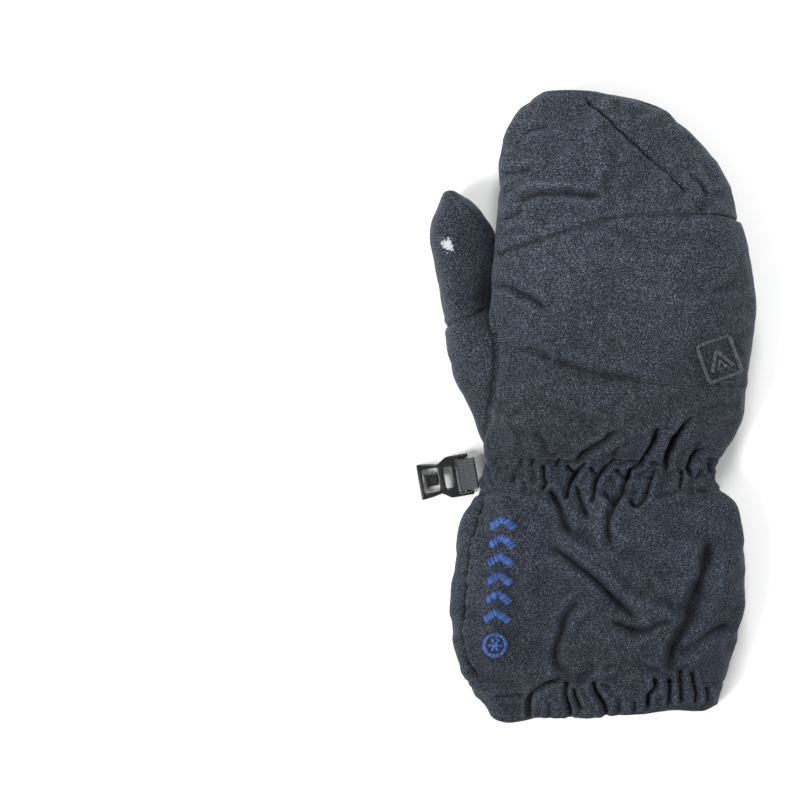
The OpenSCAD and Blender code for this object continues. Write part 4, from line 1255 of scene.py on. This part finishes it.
EMB = (-34.0, -83.0)
lines = []
for k in range(6):
    y0 = 0.6 + 7 * k
    lines += satin(turn([(-4.3, y0 + 1.4), (0, y0 + 4.6), (4.3, y0 + 1.4)], EMB, -4), 3.1, 0.40)
lines += satin(turn([(4.0 * math.cos(t), -7.4 + 4.0 * math.sin(t)) for t in np.linspace(0, 2 * math.pi, 40)[:-1]], EMB, -4), 1.5, 0.36, closed=True)
for a_ in (0, 60, 120):
    c_, s_ = math.cos(math.radians(a_)), math.sin(math.radians(a_))
    lines += satin(turn([(-2.4 * c_, -7.4 - 2.4 * s_), (2.4 * c_, -7.4 + 2.4 * s_)], EMB, -4), 0.9, 0.34)
own(tubes("cuff_motif", lines, 0.26, 0.8), M_BLUE, ["cuff_embroidery"], WRIST)

# ---------------------------------------------------------------- tone-on-tone motif on the hand
def rounded(w_, h_, r_, n=6):
    out = []
    for cx, cy, a0 in ((w_ - r_, h_ - r_, 0), (-w_ + r_, h_ - r_, 90), (-w_ + r_, -h_ + r_, 180), (w_ - r_, -h_ + r_, 270)):
        for k in range(n + 1):
            t = math.radians(a0 + 90 * k / n)
            out.append((cx + r_ * math.cos(t), cy + r_ * math.sin(t)))
    return out


BAD = (49.6, 17.4)
lines = satin(turn(rounded(6.5, 7.3, 1.2), BAD, 20), 1.3, 0.38, rise=0.75, closed=True, base=0.12)
lines += satin(turn([(-4.0, -3.8), (0, 3.4), (4.0, -3.8)], BAD, 20), 1.45, 0.38, rise=0.75, base=0.12)
lines += satin(turn([(-1.7, -3.6), (0, -0.4), (1.7, -3.6)], BAD, 20), 1.2, 0.38, rise=0.65, base=0.12)
own(tubes("hand_motif", lines, 0.25, 0.8), M_TONE, ["side_badge"], None, "hand")

# ---------------------------------------------------------------- topstitching
def stitches(name, pts, body=None, blend=None, length=2.3, gap_=0.9, rad=0.17, down=True, side=0.0):
    pts = [np.array(p, float) for p in pts]
    seg = [np.linalg.norm(b - a) for a, b in zip(pts, pts[1:])]
    cum = np.concatenate([[0], np.cumsum(seg)])
    s_ = 0.6
    out = []
    def at(v):
        k = min(int(np.searchsorted(cum, v, side="right")) - 1, len(seg) - 1)
        return pts[k] + (pts[k + 1] - pts[k]) * ((v - cum[k]) / seg[k])
    while s_ + length < cum[-1]:
        row, ups = [], []
        for u in (0, 0.2, 0.5, 0.8, 1):
            q_ = at(s_ + u * length)
            h, nn = drop(q_[0], q_[1], down)
            row.append(h + nn * (0.02 + 0.16 * math.sin(math.pi * u) ** 0.5 - 0.05))
            ups.append(nn)
        out.append((row, ups))
        s_ += length + gap_
    o = tubes(name, out, rad, 0.9, 5)
    return own(o, M_SEW, [], blend, body)


stitches("stitch_hem", [(x, -105.3) for x in np.linspace(-42, 49, 40)], "cuff", length=2.0, gap_=0.8)
stitches("stitch_hem_edge", [(x, float(tab(MOUTH, x)) + 1.9) for x in np.linspace(-36, 45, 40)], "cuff", length=2.0, gap_=0.8)
stitches("stitch_strip", [(float(tab(STRIP, v)) + 1.5, v) for v in np.linspace(-38, -103, 30)], None, WRIST, 2.2, 0.9)
stitches("stitch_palm_hem", [(x, -105.3) for x in np.linspace(-36, 44, 40)], "cuff", length=2.0, gap_=0.8, down=False)

# ---------------------------------------------------------------- palm patch
def patch_grid():
    poly = np.array([[-30, -4], [52, -4], [56, 20], [54, 46], [-28, 46]], float)
    ctr_ = poly.mean(0)
    # rounded outline by angle
    n = 160
    out = []
    cor = [poly[i] for i in range(5)]
    R_ = 8.0
    for i in range(5):
        a_, b_, c_ = cor[i - 1], cor[i], cor[(i + 1) % 5]
        u = (a_ - b_) / np.linalg.norm(a_ - b_)
        v = (c_ - b_) / np.linalg.norm(c_ - b_)
        p1, p2 = b_ + u * R_, b_ + v * R_
        for t in np.linspace(0, 1, 12):
            out.append((1 - t) ** 2 * p1 + 2 * t * (1 - t) * b_ + t * t * p2)
    out = np.array(out + [out[0]])
    d = np.concatenate([[0], np.cumsum(np.linalg.norm(np.diff(out, axis=0), axis=1))])
    s_ = np.linspace(0, d[-1], n, endpoint=False)
    edge_ = np.column_stack([np.interp(s_, d, out[:, 0]), np.interp(s_, d, out[:, 1])])
    rings = []
    for f in (1.0, 0.995, 0.985, 0.965, 0.93, 0.88, 0.8, 0.7, 0.58, 0.45, 0.3, 0.15, 0.01):
        rings.append(ctr_ + (edge_ - ctr_) * f)
    G_ = np.zeros((len(rings), n, 3))
    for i, rg in enumerate(rings):
        for k, (x, y) in enumerate(rg):
            h, nn = drop(x, y, False)
            dz = (0.02, 0.30, 0.44, 0.46)[min(i, 3)] - (0.10 if i == 4 else 0)
            G_[i, k] = (x, y, max(0.05, h.z - dz))
    return G_, edge_, ctr_


PG, PE, PCT = patch_grid()
o = sheet_mesh("palm_patch", PG, None, 0.0, wrap=True)
fix_out(o)
own(o, M_GRIP, ["palm_grip_patch"], None, "hand")

# ---------------------------------------------------------------- clip
M_PLASTIC = None
def plastic():
    m, nt, b = principled("clip_plastic")
    L = nt.links.new
    tc = N_(nt, "ShaderNodeTexCoord")
    n = N_(nt, "ShaderNodeTexNoise")
    n.inputs["Scale"].default_value = 420.0
    n.inputs["Detail"].default_value = 4.0
    L(tc.outputs["Object"], n.inputs["Vector"])
    r = ramp(nt, [(0.35, (0.003, 0.0033, 0.0037)), (0.7, (0.010, 0.011, 0.012))])
    L(n.outputs["Fac"], r.inputs["Fac"])
    L(r.outputs["Color"], b.inputs["Base Color"])
    rr_ = ramp(nt, [(0.4, (0.14, 0.14, 0.14)), (0.75, (0.28, 0.28, 0.28))])
    L(n.outputs["Fac"], rr_.inputs["Fac"])
    L(rr_.outputs["Color"], b.inputs["Roughness"])
    n2 = N_(nt, "ShaderNodeTexNoise")
    n2.inputs["Scale"].default_value = 900.0
    L(tc.outputs["Object"], n2.inputs["Vector"])
    bp = N_(nt, "ShaderNodeBump")
    bp.inputs["Strength"].default_value = 0.12
    bp.inputs["Distance"].default_value = 0.0001
    L(n2.outputs["Fac"], bp.inputs["Height"])
    L(bp.outputs["Normal"], b.inputs["Normal"])
    b.inputs["Specular IOR Level"].default_value = 0.34
    b.inputs["Coat Weight"].default_value = 0.25
    b.inputs["Coat Roughness"].default_value = 0.12
    return m


M_PLASTIC = plastic()
CLIP_AT, TURN, DIP = np.array([-46.0, -26.4, 2.3]), math.radians(10), math.radians(1.8)


def to_world(me, dip=True):
    """From the clip's own axes (mm) into the frame (m)."""
    n = len(me.vertices)
    v = np.empty(n * 3)
    me.vertices.foreach_get("co", v)
    v = v.reshape(-1, 3)
    if dip:
        x = v[:, 0] * math.cos(-DIP) + v[:, 2] * math.sin(-DIP)
        z = -v[:, 0] * math.sin(-DIP) + v[:, 2] * math.cos(-DIP)
        v = np.column_stack([x, v[:, 1], z])
    c, s_ = math.cos(TURN), math.sin(TURN)
    v = np.column_stack([v[:, 0] * c - v[:, 1] * s_, v[:, 0] * s_ + v[:, 1] * c, v[:, 2]]) + CLIP_AT
    me.vertices.foreach_set("co", (v * MM).ravel())
    me.update()


def soften(pts, r_, n=4):
    """Round a closed outline's corners by up to r_."""
    out = []
    m_ = len(pts)
    for i in range(m_):
        a_, b_, c_ = (np.array(pts[(i + k) % m_], float) for k in (-1, 0, 1))
        la, lc = np.linalg.norm(a_ - b_), np.linalg.norm(c_ - b_)
        q_ = min(r_, la * 0.45, lc * 0.45)
        p1, p2 = b_ + (a_ - b_) / la * q_, b_ + (c_ - b_) / lc * q_
        for t in np.linspace(0, 1, n + 1):
            out.append(tuple((1 - t) ** 2 * p1 + 2 * t * (1 - t) * b_ + t * t * p2))
    return out


def plate(name, outer_, holes, thick, z0, bevel=0.35):
    cu = bpy.data.curves.new(name, "CURVE")
    cu.dimensions, cu.fill_mode = "2D", "BOTH"
    for loop in [outer_, *holes]:
        sp = cu.splines.new("POLY")
        sp.points.add(len(loop) - 1)
        for p_, (x, y) in zip(sp.points, loop):
            p_.co = (x, y, 0, 1)
        sp.use_cyclic_u = True
    cu.extrude = thick / 2 - bevel
    cu.bevel_depth, cu.bevel_resolution = bevel, 3
    cu.offset = -bevel
    t = bpy.data.objects.new(name + "_c", cu)
    link(t)
    dg = bpy.context.evaluated_depsgraph_get()
    me = bpy.data.meshes.new_from_object(t.evaluated_get(dg))
    bpy.data.objects.remove(t)
    v = np.empty(len(me.vertices) * 3)
    me.vertices.foreach_get("co", v)
    v = v.reshape(-1, 3)
    v[:, 2] += z0 + thick / 2
    me.vertices.foreach_set("co", v.ravel())
    return me


def rod(r_, half, bulge=0.0, n=24, m_=9):
    """A rod along local Y with rounded ends."""
    V, F = [], []
    prof = [(-half, 0.6), (-half + 0.25, 0.88), (-half + 0.6, 1.0)] + [(y, 1.0 + bulge * (1 - (y / half) ** 2)) for y in np.linspace(-half + 1, half - 1, m_)] + [(half - 0.6, 1.0), (half - 0.25, 0.88), (half, 0.6)]
    for y, f in prof:
        for k in range(n):
            a_ = 2 * math.pi * k / n
            V.append((r_ * f * math.cos(a_), y, r_ * f * math.sin(a_)))
    for i in range(len(prof) - 1):
        for k in range(n):
            F.append((i * n + k, i * n + (k + 1) % n, (i + 1) * n + (k + 1) % n, (i + 1) * n + k))
    F.append(tuple(range(n)))
    F.append(tuple((len(prof) - 1) * n + k for k in range(n))[::-1])
    me = bpy.data.meshes.new("rod")
    me.from_pydata(V, [], F)
    return me


def joined(name, meshes, dip=True, angle=35):
    bm_ = bmesh.new()
    for me in meshes:
        bm_.from_mesh(me)
    bmesh.ops.remove_doubles(bm_, verts=bm_.verts, dist=0.0005)
    bmesh.ops.recalc_face_normals(bm_, faces=bm_.faces)
    me = bpy.data.meshes.new(name)
    bm_.to_mesh(me)
    bm_.free()
    to_world(me, dip)
    o_ = link(bpy.data.objects.new(name, me))
    me.polygons.foreach_set("use_smooth", [True] * len(me.polygons))
    me.set_sharp_from_angle(angle=math.radians(angle))
    me.update()
    return o_


frame_out = [(2.7, 7.9), (2.7, 6.55), (-2.9, 6.55), (-2.9, -6.55), (2.7, -6.55), (2.7, -7.9), (-6.0, -7.9), (-8.4, -6.2),
             (-9.4, -5.6), (-12.4, -6.3), (-17.4, -6.9), (-17.4, 6.9), (-12.4, 6.3), (-9.4, 5.6), (-8.4, 6.2), (-6.0, 7.9)]
hole1 = [(-7.5, -4.1), (-4.7, -4.1), (-4.7, 4.1), (-7.5, 4.1)]
hole2 = [(-15.8, -4.5), (-9.8, -4.5), (-9.8, 4.5), (-15.8, 4.5)]
rim1 = plate("rim1", soften([(-16.7, -5.9), (-16.4, -5.9), (-16.4, 5.9), (-16.7, 5.9)], 0.3), [], 0.5, 1.6, 0.12)
rib2 = plate("rib2", soften([(-8.9, -4.6), (-8.3, -4.6), (-8.3, 4.6), (-8.9, 4.6)], 0.25), [], 0.5, 1.55, 0.14)
body_plate = plate("frame", soften(frame_out, 0.9), [soften(hole1, 0.8), soften(hole2, 0.9)], 3.4, -1.7, 0.5)
o = joined("clip_body", [body_plate, rod(1.2, 7.0), rib2, rim1])
own(o, M_PLASTIC, ["clip_frame"], None, "clip")
tng = plate("tongue", soften([(-15.1, -2.2), (-10.0, -2.25), (-10.0, 2.25), (-15.1, 2.2)], 0.5), [], 1.4, -0.7, 0.28)
nose = plate("nose", soften([(-15.15, -2.8), (-13.9, -2.8), (-13.9, 2.8), (-15.15, 2.8)], 0.4), [], 1.7, 0.4, 0.35)
ribs = [plate("rib%d" % k, soften([(-12.9 + 0.9 * k, -1.7), (-12.5 + 0.9 * k, -1.7), (-12.5 + 0.9 * k, 1.7), (-12.9 + 0.9 * k, 1.7)], 0.15), [], 0.4, 0.55, 0.1) for k in range(3)]
o = joined("clip_spring", [tng, nose, *ribs])
own(o, M_PLASTIC, ["clip_tongue"], None, "tongue")

# ---------------------------------------------------------------- webbing: one strap round the bar, sewn to itself
def strap():
    mid_ = [(4.55, 5.9), (3.7, 5.0), (2.8, 3.6), (1.95, 2.45), (1.1, 1.98)]
    for a_ in range(75, 300, 15):
        mid_.append((1.78 * math.cos(math.radians(a_)), 1.78 * math.sin(math.radians(a_))))
    mid_ += [(1.5, -1.45), (2.5, -0.6), (3.3, 1.1), (3.85, 2.7), (4.15, 4.3), (4.3, 5.2)]
    mid_ = np.array(mid_)
    # even spacing, then a cross-section of a woven strap at each point
    d = np.concatenate([[0], np.cumsum(np.linalg.norm(np.diff(mid_, axis=0), axis=1))])
    s_ = np.linspace(0, d[-1], 90)
    c = np.column_stack([np.interp(s_, d, mid_[:, 0]), np.interp(s_, d, mid_[:, 1])])
    for _ in range(2):
        c[1:-1] = (c[:-2] + 2 * c[1:-1] + c[2:]) / 4
    t = np.gradient(c, axis=0)
    t /= np.linalg.norm(t, axis=1, keepdims=True)
    n = np.column_stack([-t[:, 1], t[:, 0]])
    prof = []
    W_, T_ = 5.95, 0.44
    ys = np.linspace(-W_, W_, 49)
    for k, y in enumerate(ys):
        e = min(1, (W_ - abs(y)) / 0.5) ** 0.5
        prof.append((y, T_ * max(0.35, e) + 0.05 * math.sin(k * math.pi) ))
    V, F = [], []
    m_ = len(prof)
    for i in range(len(c)):
        rib = 0.02 * math.sin(i * math.pi * 0.9)
        for y, h in prof:
            q_ = c[i] + n[i] * (h + rib * (1 if abs(y) < 5 else 0))
            V.append((q_[0], y, q_[1]))
        for y, h in prof[::-1]:
            q_ = c[i] - n[i] * h
            V.append((q_[0], y, q_[1]))
    M2 = 2 * m_
    for i in range(len(c) - 1):
        for k in range(M2):
            F.append((i * M2 + k, i * M2 + (k + 1) % M2, (i + 1) * M2 + (k + 1) % M2, (i + 1) * M2 + k))
    F.append(tuple(range(M2)))
    F.append(tuple((len(c) - 1) * M2 + k for k in range(M2))[::-1])
    me = bpy.data.meshes.new("strap")
    me.from_pydata(V, [], F)
    return me


def webbing_material():
    m, nt, b = principled("webbing")
    L = nt.links.new
    tc = N_(nt, "ShaderNodeTexCoord")
    mp = N_(nt, "ShaderNodeMapping")
    mp.inputs["Rotation"].default_value = (0, 0, -TURN)
    L(tc.outputs["Object"], mp.inputs["Vector"])
    w1 = N_(nt, "ShaderNodeTexWave", wave_type="BANDS", bands_direction="Y")
    w1.inputs["Scale"].default_value = 300.0
    w1.inputs["Distortion"].default_value = 0.6
    w2 = N_(nt, "ShaderNodeTexWave", wave_type="BANDS", bands_direction="DIAGONAL")
    w2.inputs["Scale"].default_value = 420.0
    for w_ in (w1, w2):
        L(mp.outputs["Vector"], w_.inputs["Vector"])
    mm_ = N_(nt, "ShaderNodeMath", operation="MULTIPLY")
    L(w1.outputs["Fac"], mm_.inputs[0])
    L(w2.outputs["Fac"], mm_.inputs[1])
    r = ramp(nt, [(0.05, (0.006, 0.007, 0.009)), (0.6, (0.045, 0.049, 0.057))])
    L(mm_.outputs[0], r.inputs["Fac"])
    L(r.outputs["Color"], b.inputs["Base Color"])
    bp = N_(nt, "ShaderNodeBump")
    bp.inputs["Strength"].default_value = 0.8
    bp.inputs["Distance"].default_value = 0.0003
    L(mm_.outputs[0], bp.inputs["Height"])
    L(bp.outputs["Normal"], b.inputs["Normal"])
    b.inputs["Roughness"].default_value = 0.6
    b.inputs["Sheen Weight"].default_value = 0.2
    return m


o = joined("wrist_webbing", [strap()], dip=False, angle=60)
own(o, webbing_material(), ["webbing_loop"], None, "hand")

# ---------------------------------------------------------------- floor and light
fl = bpy.data.meshes.new("floor")
fl.from_pydata([(-6, -6, 0), (6, -6, 0), (6, 6, 0), (-6, 6, 0)], [], [(0, 1, 2, 3)])
floor = link(bpy.data.objects.new("floor", fl))
floor.location.z = -0.0004
fm, nt, b = principled("floor")
b.inputs["Base Color"].default_value = (0.97, 0.97, 0.97, 1)
b.inputs["Roughness"].default_value = 0.9
fl.materials.append(fm)
floor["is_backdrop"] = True
w = bpy.data.worlds.new("world")
bpy.context.scene.world = w
w.use_nodes = True
w.node_tree.nodes["Background"].inputs["Color"].default_value = (1, 1, 1, 1)
w.node_tree.nodes["Background"].inputs["Strength"].default_value = 0.46


def area(name, loc, size, power, aim=(0, 0, 0.01)):
    d = bpy.data.lights.new(name, "AREA")
    d.energy, d.size = power, size
    d.shape = "SQUARE"
    o = link(bpy.data.objects.new(name, d))
    o.location = loc
    o.rotation_euler = (Vector(aim) - Vector(loc)).to_track_quat("-Z", "Y").to_euler()
    return o


area("key", (-1.9, -1.0, 1.9), 1.3, 100)
area("top", (0.1, 2.0, 2.3), 1.0, 60)
area("rim", (1.6, 0.6, 1.2), 0.8, 12)
bpy.context.scene.view_settings.view_transform = "Standard"

lo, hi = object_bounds()
